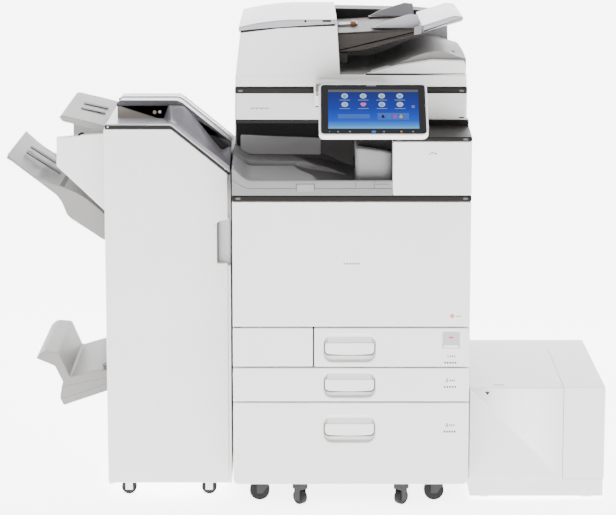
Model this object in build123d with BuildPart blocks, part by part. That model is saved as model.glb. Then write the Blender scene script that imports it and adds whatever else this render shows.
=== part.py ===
from build123d import *
import os
from math import cos, radians, sin

# A floor-standing colour photocopier: main unit with three paper tiers, scanner, document
# feeder and touch panel, a paper finisher on its left and a side paper bin on its right.
# Millimetres.  +Z is up, the front faces -Y, and the origin is on the floor, below the middle
# of the whole machine.

os.makedirs("parts", exist_ok=True)

# ---------------------------------------------------------------- driving dimensions
# Main unit
main_width = 587.0
main_depth = 685.0
tray3_height = 210.0
tray2_height = 85.5
tray1_height = 98.5
door_height = 313.4
strip_height = 14.5           # dark strip above the front door
exit_height = 134.5           # upper right cover, from the strip to the dark cap
cap_height = 33.5             # dark cap, from the upper right cover to the scanner
panel_gap = 3.0               # seam between two tiers of the front
strip_gap = 0.6               # seam between the front door and the strip
waste_width = 200.0           # toner waste cover, left of tray 1
exit_width = 388.0            # open exit bay, left of the upper right cover
exit_depth = 310.0

# Shells and sheet
cover_wall = 3.0
sheet = 2.0
seat = 0.3                    # play between a cover and the frame behind it
front_thick = 26.0            # drawer fronts
door_thick = 22.0
front_play = 2.0              # drawer front to the frame behind it

# Drawers
ledge_height = 5.0
ledge_width = 16.0
slide_play = 0.5
drawer_side_play = 6.0
drawer_wall = 2.5
drawer_depth = 470.0
drawer_headroom = 12.0
pocket_width = 130.0
pocket_depth = 21.0
pocket_radius = 16.0
pocket_offset = -4.0          # pocket centre from the middle of the main unit
hook_height = 27.0
hook_thick = 4.0

# Engine
bottle_diameter = 80.0
bottle_length = 390.0
bottle_space = 16.0           # between two bottles
bottle_play = 0.4
drum_width = 84.0
drum_height = 46.0
engine_depth = 400.0
belt_height = 44.0
fuser_width = 66.0
fuser_height = 120.0
door_recess = 50.0            # side wall steps in behind the jam door

# Jam door and bypass tray
jam_front = 90.0              # from the front plane to the jam door
jam_back = 150.0              # from the back to the jam door
jam_height = 312.0
jam_thick = 45.0
jam_play = 0.9
bypass_margin = 60.0          # from the jam door's edge to the bypass tray
bypass_bottom = 40.0          # from the jam door's lower edge to the bypass tray
bypass_length = 180.0
bypass_thick = 12.0
bypass_pocket = 16.0

# Scanner
scanner_setback = 140.0
scanner_side = 4.5            # narrower than the body on each side
scanner_back = 20.0           # scanner's rear wall ahead of the rear cover
scanner_height = 66.0
band_height = 15.0
scanner_wall = 3.5
glass_length = 440.0
glass_depth = 310.0
glass_thick = 4.0
strip_glass = 24.0
carriage_width = 36.0
mirror_width = 22.0
carriage_height = 22.0
rail_diameter = 8.0

# Document feeder
lid_gap = 1.0
lid_thick = 30.0
lid_setback = 2.0
lid_pin_back = 9.0            # lid hinge pin behind the scanner
lid_pin_up = 11.0
lid_knuckle = 18.0
lid_knuckle_half = 20.0
lid_knuckle_x = 190.0
lid_cheek = 5.0
lid_cheek_play = 0.6
feeder_width = 253.0          # white block on the left of the lid
feeder_height = 123.0
feeder_rise = 18.0            # its top edge rises to the right
feeder_lean = 13.0            # its left side leans in
feed_cover_thick = 26.0
feeder_back_depth = 110.0     # rear wall of the feeder
feeder_back_height = 119.0
output_low = 14.0             # output tray above the lid slab, beside the feeder
output_crest = 59.0
input_tray_length = 328.0
input_tray_overlap = 14.0     # reaches into the feeder's mouth
input_pin = 6.0
input_tray_thick = 16.0       # at its free end
input_tray_root = 50.0        # thickness where it meets the feeder
input_tray_depth = 372.0
input_tray_low = 51.0         # input tray above the lid slab, at the feeder
input_tray_rise = 78.0        # its underside rises by this to the free end
input_tray_knee = 8.0         # rise of the short level part by the feeder
guide_start = 100.0           # from the input tray's pivot end
guide_length = 120.0
guide_height = 34.0
guide_thick = 5.0
guide_spread = 320.0

# Operation panel
panel_width = 264.0
panel_height = 171.0
panel_thick = 16.0
panel_radius = 13.0
panel_rim = 5.0
panel_elevation = 50.0        # direction the screen faces, above the horizon
panel_x = 51.0                # panel centre from the middle of the main unit
panel_reach = 20.0            # panel centre in front of the front plane
panel_z = 1006.0
screen_thick = 3.0
screen_play = 0.3
key_diameter = 8.0
key_play = 0.3
key_stand = 1.5
hinge_radius = 12.0
hinge_behind = 92.0           # hinge axis behind the panel centre
hinge_above = 38.0
hinge_half = 64.0
lug_width = 24.0
bracket_width = 185.0

# Finisher
finisher_gap = 6.0
finisher_width = 312.0
finisher_depth = 613.0
finisher_setback = 62.0
finisher_bottom = 44.0
finisher_top_z = 946.0
finisher_low_z = 829.0        # foot of the slope beside the main unit
slope_start = 167.0           # flat part of the top, from the left
finisher_band = 12.0
finisher_door_thick = 22.0
finisher_door_inset = 6.6
latch_width = 27.0
latch_bottom = 609.0
latch_height = 108.0
rear_box_setback = 106.0
rear_box_depth = 78.0
rear_box_height = 43.0
rear_box_tail = 290.0
rear_box_inset = 26.0
fence_reach = 119.0
fence_thick = 24.0
fence_inset = 38.0
tray_reach = 249.0
tray_depth = 432.0
tray_play = 3.0
booklet_depth = 380.0

# Side paper bin
bin_gap = 6.0
bin_width = 340.0
bin_depth = 540.0
bin_setback = 60.0
bin_bottom = 10.0
bin_height = 282.0
bin_trim = 44.0
bin_trim_inset = 2.0
bin_seam_gap = 0.8
bin_seam = 236.0              # from the left side to the seam
bin_back_fixed = 108.0        # fixed top behind the lid
bin_wall = 3.0
lift_plate_thick = 3.0
lift_plate_play = 4.0

# Docking studs between the main unit and the units beside it
stud_diameter = 20.0
dock_play = 0.3

# Wheels
wheel_diameter = 50.0
caster_head = 7.0             # underside of the body above the wheels
wheel_width = 22.0
caster_trail = 18.0
axle_diameter = 8.0
axle_play = 0.1
cheek = 3.0
cheek_play = 0.6
small_wheel = 38.0
small_width = 16.0
caster_x = 220.0
caster_front = 70.0
caster_back = 75.0
outrigger_x = 127.0
outrigger_y = 26.0

# Mains inlet
inlet_x = 190.0
inlet_z = 170.0
inlet_width = 27.0
inlet_height = 20.0
inlet_deep = 18.0
inlet_wall = 1.6

# ---------------------------------------------------------------- places worked out from them
span = tray_reach + finisher_width + finisher_gap + main_width + bin_gap + bin_width
finisher_left = -span / 2 + tray_reach
finisher_right = finisher_left + finisher_width
main_left = finisher_right + finisher_gap
main_right = main_left + main_width
main_mid = (main_left + main_right) / 2
bin_left = main_right + bin_gap
bin_right = bin_left + bin_width

panel_fore = panel_reach + panel_height / 2 * sin(radians(panel_elevation))
front = -(panel_fore + main_depth) / 2 + panel_fore
back = front + main_depth
frame_front = front + front_thick + front_play

body_bottom = wheel_diameter + caster_head
tray3_low = body_bottom + 1.0
tray3_top = tray3_low + tray3_height
tray2_low = tray3_top + panel_gap
tray2_top = tray2_low + tray2_height
tray1_low = tray2_top + panel_gap
tray1_top = tray1_low + tray1_height
door_low = tray1_top + panel_gap
door_top = door_low + door_height
strip_low = door_top + strip_gap
strip_top = strip_low + strip_height
exit_top = strip_top + exit_height
scanner_low = exit_top + cap_height + 0.5
scanner_top = scanner_low + scanner_height
band_top = scanner_top + band_height
lid_low = band_top + lid_gap
lid_top = lid_low + lid_thick

wall_left = main_left + cover_wall + seat
wall_right = main_right - cover_wall - seat
wall_back = back - cover_wall - seat
exit_right = main_left + 5.5 + exit_width
exit_back = front + exit_depth
recess_low = tray1_top + sheet
jam_low = recess_low + 1.0 + jam_play
jam_top = jam_low + jam_height
recess_top = jam_top + jam_play + 1.0


# ---------------------------------------------------------------- small helpers
def block(x0, x1, y0, y1, z0, z1, mode=Mode.ADD):
    """A box named by its faces."""
    with Locations(((x0 + x1) / 2, (y0 + y1) / 2, (z0 + z1) / 2)):
        Box(x1 - x0, y1 - y0, z1 - z0, mode=mode)


def prism_y(points, y0, y1, mode=Mode.ADD):
    """An outline of (x, z) points pulled from y0 to y1."""
    with BuildSketch(Plane.XZ.offset(-y1)) as profile:
        with BuildLine():
            Polyline(*points, close=True)
        make_face()
    extrude(profile.sketch, amount=y1 - y0, mode=mode)


def prism_x(points, x0, x1, mode=Mode.ADD):
    """An outline of (y, z) points pulled from x0 to x1."""
    with BuildSketch(Plane.YZ.offset(x0)) as profile:
        with BuildLine():
            Polyline(*points, close=True)
        make_face()
    extrude(profile.sketch, amount=x1 - x0, mode=mode)


def rod_y(x, z, y0, y1, diameter, mode=Mode.ADD):
    """A round bar along Y."""
    with BuildSketch(Plane.XZ.offset(-y1)) as profile:
        with Locations((x, z)):
            Circle(diameter / 2)
    extrude(profile.sketch, amount=y1 - y0, mode=mode)


def rod_x(y, z, x0, x1, diameter, mode=Mode.ADD):
    """A round bar along X."""
    with BuildSketch(Plane.YZ.offset(x0)) as profile:
        with Locations((y, z)):
            Circle(diameter / 2)
    extrude(profile.sketch, amount=x1 - x0, mode=mode)


def rod_z(x, y, z0, z1, diameter, mode=Mode.ADD):
    """An upright round bar."""
    with BuildSketch(Plane.XY.offset(z0)) as profile:
        with Locations((x, y)):
            Circle(diameter / 2)
    extrude(profile.sketch, amount=z1 - z0, mode=mode)


def plates(boxes):
    """Flat pieces that meet face to face and stay separate solids."""
    solids = []
    for box in boxes:
        with BuildPart() as plate:
            block(*box)
        solids.append(plate.part.solid())
    return solids


# ================================================================ main unit: structure
# Sheet-metal frame: base, walls, shelves and drawer ledges
recess_wall = main_right - door_recess
frame_top = scanner_low - 0.5
window_left = main_mid + inlet_x - inlet_width / 2 - 6
window_right = main_mid + inlet_x + inlet_width / 2 + 6
window_low = inlet_z - inlet_height / 2 - 6
window_top = inlet_z + inlet_height / 2 + 6
back_face = wall_back - sheet
inside_left = wall_left + sheet
inside_right = wall_right - sheet
shelf3 = tray3_top
shelf2 = tray2_top
engine_floor = tray1_top

frame_boxes = [
    (wall_left, wall_right, frame_front, wall_back, body_bottom, body_bottom + sheet),
    (wall_left, inside_left, frame_front, back_face, body_bottom + sheet, strip_top - 6),
    (wall_left, inside_left, exit_back + 8, back_face, strip_top - 6, frame_top),
    (inside_right, wall_right, frame_front, back_face, body_bottom + sheet, engine_floor),
    (recess_wall, wall_right, frame_front, back_face, engine_floor, recess_low),
    (recess_wall, recess_wall + sheet, frame_front, back_face, recess_low, recess_top),
    (recess_wall, wall_right, frame_front, back_face, recess_top, recess_top + sheet),
    (inside_right, wall_right, frame_front, back_face, recess_top + sheet, exit_top - seat),
    (wall_left, window_left, back_face, wall_back, body_bottom + sheet, exit_top - seat),
    (wall_left, exit_right - seat, back_face, wall_back, exit_top - seat, frame_top),
    (window_right, wall_right, back_face, wall_back, body_bottom + sheet, exit_top - seat),
    (window_left, window_right, back_face, wall_back, body_bottom + sheet, window_low),
    (window_left, window_right, back_face, wall_back, window_top, exit_top - seat),
    (inside_left, inside_right, frame_front, back_face, shelf3, shelf3 + sheet),
    (inside_left, inside_right, frame_front, back_face, shelf2, shelf2 + sheet),
    (inside_left, recess_wall, frame_front, back_face, engine_floor, engine_floor + sheet),
]
for floor_top in (body_bottom + sheet, shelf3 + sheet, shelf2 + sheet):
    ledge_top = floor_top + ledge_height
    left_start = inside_left
    if floor_top == shelf2 + sheet:
        left_start = main_left + waste_width + panel_gap
    ends = (frame_front, back_face, floor_top, ledge_top)
    frame_boxes.append((left_start, left_start + ledge_width, *ends))
    frame_boxes.append((inside_right - ledge_width, inside_right, *ends))
# Divider between the toner waste bay and tray 1
divider = main_left + waste_width + panel_gap
frame_boxes.append(
    (divider - sheet, divider, frame_front, back_face, shelf2 + sheet, engine_floor)
)
# Cross beam that carries the scanner on the left, behind the exit bay
frame_boxes.append(
    (inside_left, exit_right, back_face - 40, back_face, strip_top + 40, strip_top + 42)
)

frame_solids = plates(frame_boxes)

# Lug under the front door's left edge, with the lower hinge pin
door_pin = 6.0
door_pin_play = 0.1
door_axis_x = main_left + 11.0
door_axis_y = front + 11.0
with BuildPart() as front_door_lug:
    block(
        main_left + cover_wall + seat,
        main_left + 20,
        front + 3,
        frame_front,
        engine_floor + 0.5,
        door_low - 0.5,
    )
    rod_z(door_axis_x, door_axis_y, door_low - 0.5, door_low + 14, door_pin)
frame_solids.append(front_door_lug.part.solid())

# Forks of the two small outrigger casters, at 45 degrees under the front edge
outrigger_fork_top = body_bottom - 1.0
for side in (-1, 1):
    fork_plane = Plane(
        origin=(main_mid + side * outrigger_x, front + outrigger_y, small_wheel / 2),
        x_dir=(cos(radians(45)), side * sin(radians(45)), 0),
        z_dir=(0, 0, 1),
    )
    arm = small_width / 2 + cheek_play
    with BuildPart() as outrigger_fork:
        with BuildSketch(fork_plane.offset(small_wheel / 2 + 2)):
            Rectangle(small_wheel * 0.8, 2 * (arm + cheek))
        extrude(amount=outrigger_fork_top - small_wheel - 2)
        for face in (-1, 1):
            with BuildSketch(fork_plane.offset(-axle_diameter)):
                with Locations((0, face * (arm + cheek / 2))):
                    Rectangle(small_wheel * 0.5, cheek)
            extrude(amount=small_wheel / 2 + 2 + axle_diameter)
        axle_plane = Plane(
            origin=fork_plane.origin - fork_plane.y_dir * (arm + cheek),
            x_dir=fork_plane.x_dir,
            z_dir=fork_plane.y_dir,
        )
        with BuildSketch(axle_plane):
            Circle(axle_diameter / 2)
        extrude(amount=2 * (arm + cheek))
        # Bracket that reaches back to the base pan
        with BuildSketch(Plane.XY.offset(outrigger_fork_top - 3)):
            with Locations((main_mid + side * outrigger_x, front + outrigger_y + 20)):
                Rectangle(34, 60)
        extrude(amount=3)
    frame_solids.append(outrigger_fork.part.solid())
    with BuildPart() as outrigger_spacer:
        x_mid = main_mid + side * outrigger_x
        block(x_mid - 17, x_mid + 17, frame_front, frame_front + 22, outrigger_fork_top, body_bottom)
    frame_solids.append(outrigger_spacer.part.solid())

main_frame = Compound(label="main_frame", children=frame_solids)
export_step(main_frame, "parts/main_frame.step")

# Left covers: the lower panel with the raised rim of the exit bay, and the column panel
rim_top = strip_top + 65.5
left_boxes = [
    (main_left, main_left + cover_wall, frame_front, back - cover_wall, body_bottom, rim_top),
    (main_left, main_left + cover_wall, exit_back + 6, back - cover_wall, rim_top, frame_top),
]
left_cover = Compound(label="left_cover", children=plates(left_boxes))
export_step(left_cover, "parts/left_cover.step")

# Right covers: panels above, below, before and behind the jam door
jam_y0 = front + jam_front
jam_y1 = back - jam_back
right_face = (main_right - cover_wall, main_right)
right_boxes = [
    (*right_face, frame_front, back - cover_wall, body_bottom, jam_low - jam_play),
    (*right_face, frame_front, back - cover_wall, jam_top + jam_play, exit_top - seat),
    (*right_face, frame_front, jam_y0 - jam_play, jam_low - jam_play, jam_top + jam_play),
    (*right_face, jam_y1 + jam_play, back - cover_wall, jam_low - jam_play, jam_top + jam_play),
]
right_cover = Compound(label="right_cover", children=plates(right_boxes))
export_step(right_cover, "parts/right_cover.step")

# Rear covers, connector plate and the mains inlet
rear_split = 430.0
hole_left = main_mid + inlet_x - inlet_width / 2
hole_right = main_mid + inlet_x + inlet_width / 2
hole_low = inlet_z - inlet_height / 2
hole_top = inlet_z + inlet_height / 2
rear_front = back - cover_wall
inlet_floor = back - inlet_deep
rear_boxes = [
    (main_left, main_right, rear_front, back, rear_split + 1, exit_top - seat),
    (main_left, exit_right, rear_front, back, exit_top - seat, frame_top),
    (main_left, hole_left - 30, rear_front, back, body_bottom, rear_split),
    (hole_right + 30, main_right, rear_front, back, body_bottom, rear_split),
    (hole_left - 30, hole_right + 30, rear_front, back, body_bottom, hole_low - inlet_wall),
    (hole_left - 30, hole_right + 30, rear_front, back, hole_top + inlet_wall, rear_split),
    (hole_left - 30, hole_left - inlet_wall, rear_front, back, hole_low - inlet_wall, hole_top + inlet_wall),
    (hole_right + inlet_wall, hole_right + 30, rear_front, back, hole_low - inlet_wall, hole_top + inlet_wall),
    (hole_left - inlet_wall, hole_left, inlet_floor, back, hole_low - inlet_wall, hole_top + inlet_wall),
    (hole_right, hole_right + inlet_wall, inlet_floor, back, hole_low - inlet_wall, hole_top + inlet_wall),
    (hole_left, hole_right, inlet_floor, back, hole_low - inlet_wall, hole_low),
    (hole_left, hole_right, inlet_floor, back, hole_top, hole_top + inlet_wall),
    (hole_left, hole_right, inlet_floor, inlet_floor + inlet_wall, hole_low, hole_top),
]
pin_y0 = inlet_floor + inlet_wall
for dx, dz in ((-7, -2), (7, -2), (0, 4)):
    pin_x = main_mid + inlet_x + dx
    rear_boxes.append((pin_x - 1, pin_x + 1, pin_y0, pin_y0 + 11, inlet_z + dz - 2, inlet_z + dz + 2))
rear_cover = Compound(label="rear_cover", children=plates(rear_boxes))
export_step(rear_cover, "parts/rear_cover.step")

# Inner front cover: closes the engine behind the front door, with the toner bottle openings
bottle_z = strip_low - 62.0
bottle_pitch = bottle_diameter + bottle_space
bottle_x = [main_mid - 62.0 + (i - 1.5) * bottle_pitch for i in range(4)]
inner_front = frame_front
inner_back = inner_front + cover_wall
with BuildPart() as inner_front_cover:
    block(
        inside_left + seat,
        recess_wall - seat,
        inner_front,
        inner_back,
        engine_floor + sheet + seat,
        strip_low - seat,
    )
    for x in bottle_x:
        rod_y(x, bottle_z, inner_front - 1, inner_back + 1, bottle_diameter + 2 * bottle_play, Mode.SUBTRACT)
    # Raised grip plates over the four drum units
    for x in bottle_x:
        block(x - 34, x + 34, inner_front - 1.2, inner_front, bottle_z - 106, bottle_z - 62)
inner_front_cover.part.label = "inner_front_cover"
export_step(inner_front_cover.part, "parts/inner_front_cover.step")

# Drum cartridges: four sealed units side by side
engine_front = inner_back + slide_play
with BuildPart() as drum_cartridges:
    for x in bottle_x:
        block(
            x - drum_width / 2,
            x + drum_width / 2,
            engine_front,
            engine_front + engine_depth,
            bottle_z - 108,
            bottle_z - 108 + drum_height,
        )
drum_cartridges.part.label = "drum_cartridges"
export_step(drum_cartridges.part, "parts/drum_cartridges.step")

# Transfer belt unit: a round-ended loop under the drums
belt_top = bottle_z - 108 - 2.0
belt_x0 = bottle_x[0] - 30
belt_x1 = bottle_x[3] + 42
with BuildPart() as transfer_unit:
    with BuildSketch(Plane.XZ.offset(-(engine_front + engine_depth))):
        with Locations(((belt_x0 + belt_x1) / 2, belt_top - belt_height / 2)):
            SlotOverall(belt_x1 - belt_x0, belt_height)
    extrude(amount=engine_depth)
transfer_unit.part.label = "transfer_unit"
export_step(transfer_unit.part, "parts/transfer_unit.step")

# Fuser unit, upright beside the jam door
with BuildPart() as fuser_unit:
    block(
        recess_wall - seat - fuser_width,
        recess_wall - seat,
        engine_front,
        engine_front + engine_depth,
        bottle_z - 60,
        bottle_z - 60 + fuser_height,
    )
    fillet(fuser_unit.edges().filter_by(Axis.Y), radius=8)
fuser_unit.part.label = "fuser_unit"
export_step(fuser_unit.part, "parts/fuser_unit.step")

# Toner bottles, turned by the drive at the back
for i, x in enumerate(bottle_x):
    with BuildPart() as bottle:
        rod_y(x, bottle_z, inner_front - 4, inner_front - 4 + bottle_length, bottle_diameter)
        fillet(bottle.edges().filter_by(GeomType.CIRCLE), radius=3)
        # Grip bar across the front cap
        block(x - 26, x + 26, inner_front - 9, inner_front - 3.5, bottle_z - 4, bottle_z + 4)
    bottle.part.label = f"toner_bottle_{i + 1}"
    export_step(bottle.part, f"parts/toner_bottle_{i + 1}.step")

# ================================================================ main unit: front
# Drawer fronts, each with a finger pocket and a hook bar
pocket_mid = main_mid + pocket_offset
drawer_left = inside_left + drawer_side_play
drawer_right = inside_right - drawer_side_play
waste_right = main_left + waste_width
tray1_left = waste_right + panel_gap - 1.5
tray1_box_left = divider + drawer_side_play
tiers = [
    ("tray_1", tray1_left, tray1_box_left, tray1_low, tray1_top, shelf2, 47.0, 73.5),
    ("tray_2", main_left, drawer_left, tray2_low, tray2_top, shelf3, 42.5, 69.0),
    ("tray_3", main_left, drawer_left, tray3_low, tray3_top, body_bottom, 142.0, 72.0),
]
for name, left, box_left, low, top, floor, pocket_rise, pocket_height in tiers:
    pocket_z = low + pocket_rise
    with BuildPart() as tray_front:
        block(left, main_right, front, front + front_thick, low, top)
        if name == "tray_3":
            lower = tray_front.edges().filter_by(Axis.Y).group_by(Axis.Z)[0]
            fillet(lower, radius=12)
        with BuildSketch(Plane.XZ.offset(-(front + pocket_depth))):
            with Locations((pocket_mid, pocket_z)):
                RectangleRounded(pocket_width, pocket_height, pocket_radius)
        extrude(amount=pocket_depth, mode=Mode.SUBTRACT)
    with BuildPart() as hook:
        block(
            pocket_mid - pocket_width / 2,
            pocket_mid + pocket_width / 2,
            front + 1.0,
            front + 1.0 + hook_thick,
            pocket_z - hook_height / 2,
            pocket_z + hook_height / 2,
        )
    front_piece = Compound(label=f"{name}_front", children=[tray_front.part.solid(), hook.part.solid()])
    export_step(front_piece, f"parts/{name}_front.step")

    # The drawer itself: an open box on two ledges
    box_low = floor + sheet + ledge_height + slide_play
    box_top = top - drawer_headroom
    box_front = front + front_thick
    box_back = box_front + drawer_depth
    with BuildPart() as tray_box:
        block(box_left, drawer_right, box_front, box_back, box_low, box_top)
        block(
            box_left + drawer_wall,
            drawer_right - drawer_wall,
            box_front + drawer_wall,
            box_back - drawer_wall,
            box_low + drawer_wall,
            box_top + 1,
            Mode.SUBTRACT,
        )
    tray_box.part.label = f"{name}_box"
    export_step(tray_box.part, f"parts/{name}_box.step")

# Toner waste cover, left of tray 1, hinged along its lower front edge
with BuildPart() as waste_toner_cover:
    block(main_left, waste_right - 1.5, front, front + front_thick - 8, tray1_low + 0.6, tray1_top)
    block(
        main_left + cover_wall,
        waste_right - 1.5 - cover_wall,
        front + cover_wall,
        front + front_thick,
        tray1_low + 12,
        tray1_top - cover_wall,
        Mode.SUBTRACT,
    )
waste_toner_cover.part.label = "waste_toner_cover"
export_step(waste_toner_cover.part, "parts/waste_toner_cover.step")

# Front door: a shell that swings on two pins at its left edge
with BuildPart() as front_door:
    block(main_left, main_right, front, front + door_thick, door_low, door_top)
    block(
        main_left + 22,
        main_right - cover_wall,
        front + cover_wall,
        front + door_thick + 1,
        door_low + cover_wall,
        door_top - cover_wall,
        Mode.SUBTRACT,
    )
    for z0, z1 in ((door_low - 1, door_low + 16), (door_top - 16, door_top + 1)):
        rod_z(door_axis_x, door_axis_y, z0, z1, door_pin + 2 * door_pin_play, Mode.SUBTRACT)
front_door.part.label = "front_door"
export_step(front_door.part, "parts/front_door.step")

# ================================================================ exit bay
# Exit tray: a sloped deck with a raised left rim, a front lip and two raised runs
deck_left = strip_top + 36
deck_right = strip_top + 14
tray_right = exit_right - seat
with BuildPart() as exit_tray:
    prism_y(
        [
            (main_left, strip_top),
            (tray_right, strip_top),
            (tray_right, deck_right),
            (main_left + 30, deck_left),
            (main_left + 6, rim_top - 6),
            (main_left + 6, rim_top),
            (main_left, rim_top),
        ],
        front + 0.5,
        frame_front - seat,
    )
    prism_y(
        [
            (main_left + cover_wall + seat, strip_top),
            (tray_right, strip_top),
            (tray_right, deck_right),
            (main_left + 30, deck_left),
            (main_left + 6, rim_top - 6),
            (main_left + 6, rim_top),
            (main_left + cover_wall + seat, rim_top),
        ],
        frame_front - seat,
        exit_back,
    )
    # Raised runs that carry the sheets
    for y0, y1, length in ((front + 62, front + 142, 235), (front + 178, front + 268, 265)):
        x0 = main_left + 14
        x1 = x0 + length
        slope = (deck_right - deck_left) / (tray_right - main_left - 30)
        prism_y(
            [
                (x0, deck_left - 6),
                (x1, deck_left - 6 + slope * length),
                (x1, deck_left + 2 + slope * length),
                (x1 - 40, deck_left + 16 + slope * (length - 40)),
                (x0 + 20, deck_left + 24),
                (x0, deck_left + 22),
            ],
            y0,
            y1,
        )
exit_tray.part.label = "exit_tray"
export_step(exit_tray.part, "parts/exit_tray.step")

# Exit unit on the right of the bay and the wall at its back
unit_left = exit_right - 101.0
unit_top = strip_top + 114.5
unit_front = front + 30.0
bay_top = scanner_low - 8
with BuildPart() as exit_housing:
    prism_y(
        [
            (unit_left, deck_right + 8),
            (tray_right, deck_right + 8),
            (tray_right, unit_top - 34),
            (tray_right - 22, unit_top),
            (unit_left, unit_top),
        ],
        unit_front,
        exit_back - seat,
    )
    upright = exit_housing.edges().filter_by(Axis.Z).group_by(Axis.Y)[0]
    fillet(upright, radius=14)
with BuildPart() as exit_block:
    block(unit_left + 4, tray_right, unit_front + 34, exit_back - seat, unit_top + 0.2, bay_top)
with BuildPart() as bay_wall:
    block(
        main_left + cover_wall + seat,
        tray_right,
        exit_back + seat,
        exit_back + seat + cover_wall,
        strip_top,
        frame_top,
    )
exit_unit_cover = Compound(
    label="exit_unit_cover",
    children=[exit_housing.part.solid(), exit_block.part.solid(), bay_wall.part.solid()],
)
export_step(exit_unit_cover, "parts/exit_unit_cover.step")

# Upper right cover: front wall with a return on each side
with BuildPart() as upper_right_cover:
    block(exit_right, main_right, front, frame_front - seat, strip_top, exit_top)
    block(
        exit_right + cover_wall,
        main_right - cover_wall,
        front + cover_wall,
        frame_front + 1,
        strip_top + cover_wall,
        exit_top - cover_wall,
        Mode.SUBTRACT,
    )
    block(exit_right, exit_right + cover_wall, frame_front - seat, exit_back, strip_top, exit_top)
upper_right_cover.part.label = "upper_right_cover"
export_step(upper_right_cover.part, "parts/upper_right_cover.step")

# Dark trim: strip over the door, cap over the upper right cover, band round the scanner
cap_lip = 9.0
cap_slope_top = exit_top + 20.0
scanner_front = front + scanner_setback
scanner_rear = back - scanner_back
with BuildPart() as trim_strip:
    block(main_left, main_right, front, frame_front - seat, strip_low, strip_top)
    rod_z(door_axis_x, door_axis_y, door_top - 14, strip_low, door_pin)
with BuildPart() as trim_cap:
    prism_x(
        [
            (front, exit_top),
            (front, exit_top + cap_lip),
            (scanner_front - 2, cap_slope_top),
            (scanner_front - 2, scanner_low),
            (back - cover_wall, scanner_low),
            (back - cover_wall, exit_top + 6),
            (frame_front + 40, exit_top + 6),
            (frame_front + 40, exit_top),
        ],
        exit_right,
        main_right,
    )

glass_left = main_left + scanner_side + 74.0
glass_y0 = scanner_front + 40.0
strip_glass_left = main_left + scanner_side + 36.0
with BuildPart() as scanner_band:
    block(
        main_left + scanner_side,
        main_right - scanner_side,
        scanner_front,
        scanner_rear,
        scanner_top,
        band_top,
    )
    block(
        strip_glass_left - 4,
        glass_left + glass_length - 4,
        glass_y0 + 4,
        glass_y0 + glass_depth - 4,
        scanner_top - 1,
        band_top - glass_thick,
        Mode.SUBTRACT,
    )
    for x0, width in ((strip_glass_left, strip_glass), (glass_left, glass_length)):
        block(
            x0 - seat,
            x0 + width + seat,
            glass_y0 - seat,
            glass_y0 + glass_depth + seat,
            band_top - glass_thick - 0.1,
            band_top + 1,
            Mode.SUBTRACT,
        )
front_trim = Compound(
    label="front_trim",
    children=[trim_strip.part.solid(), trim_cap.part.solid(), scanner_band.part.solid()],
)
export_step(front_trim, "parts/front_trim.step")

# ================================================================ scanner
rail_z = scanner_low + 26.0
rail_front = glass_y0 + 8
rail_rear = glass_y0 + glass_depth - 8
scan_x0 = main_left + scanner_side + scanner_wall
scan_x1 = main_right - scanner_side - scanner_wall
with BuildPart() as scanner_shell:
    block(
        main_left + scanner_side,
        main_right - scanner_side,
        scanner_front,
        scanner_rear,
        scanner_low,
        scanner_top,
    )
    block(
        scan_x0,
        scan_x1,
        scanner_front + scanner_wall,
        scanner_rear - scanner_wall,
        scanner_low + scanner_wall,
        scanner_top + 1,
        Mode.SUBTRACT,
    )
with BuildPart() as scanner_rails:
    for y in (rail_front, rail_rear):
        rod_x(y, rail_z, scan_x0, scan_x1, rail_diameter)
with BuildPart() as lens_block:
    lens_x = main_mid + 90
    block(
        lens_x,
        lens_x + 100,
        glass_y0 + 90,
        glass_y0 + 210,
        scanner_low + scanner_wall,
        scanner_low + 19,
    )
    rod_x(glass_y0 + 150, scanner_low + 12, lens_x - 14, lens_x, 12)
# Hinge bracket of the operation panel, on the scanner's front
panel_mid_x = main_mid + panel_x
panel_mid_y = front - panel_reach
hinge_y = panel_mid_y + hinge_behind
hinge_z = panel_z + hinge_above
with BuildPart() as panel_bracket:
    rod_x(hinge_y, hinge_z, main_mid - hinge_half, main_mid + hinge_half, 2 * hinge_radius)
    block(
        main_mid - hinge_half,
        main_mid + hinge_half,
        hinge_y,
        hinge_y + hinge_radius + 6,
        hinge_z - 8,
        hinge_z + 8,
    )
    block(
        main_mid - bracket_width / 2,
        main_mid + bracket_width / 2,
        hinge_y + hinge_radius + 3,
        scanner_front,
        scanner_top - 30,
        hinge_z + 16,
    )
    top_edges = panel_bracket.edges().filter_by(Axis.X).group_by(Axis.Z)[-1]
    fillet(top_edges.sort_by(Axis.Y)[0], radius=6)
    # Pins that carry the panel's lugs
    for side in (-1, 1):
        x_in = main_mid + side * hinge_half
        x_out = x_in + side * (lug_width + 2)
        rod_x(hinge_y, hinge_z, min(x_in, x_out), max(x_in, x_out), axle_diameter)
# Hinge cheeks and pins for the document feeder, on the scanner's rear wall
lid_pin_y = scanner_rear + lid_pin_back
lid_pin_z = band_top + lid_pin_up
lid_pins = []
for side in (-1, 1):
    x = main_mid + side * lid_knuckle_x
    reach = lid_knuckle_half + lid_cheek_play + lid_cheek
    with BuildPart() as lid_hinge:
        for end in (-1, 1):
            inner = x + end * (lid_knuckle_half + lid_cheek_play)
            outer = x + end * reach
            block(
                min(inner, outer),
                max(inner, outer),
                scanner_rear,
                lid_pin_y + 6,
                scanner_top - 30,
                lid_pin_z + 5.5,
            )
        block(x - reach, x + reach, scanner_rear, scanner_rear + 3, scanner_top - 30, scanner_top - 2)
        rod_x(lid_pin_y, lid_pin_z, x - reach, x + reach, axle_diameter)
    lid_pins.append(lid_hinge.part.solid())
scanner_solids = [scanner_shell.part.solid(), lens_block.part.solid(), panel_bracket.part.solid()]
scanner_solids += list(scanner_rails.part.solids()) + lid_pins
scanner_housing = Compound(label="scanner_housing", children=scanner_solids)
export_step(scanner_housing, "parts/scanner_housing.step")

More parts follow.
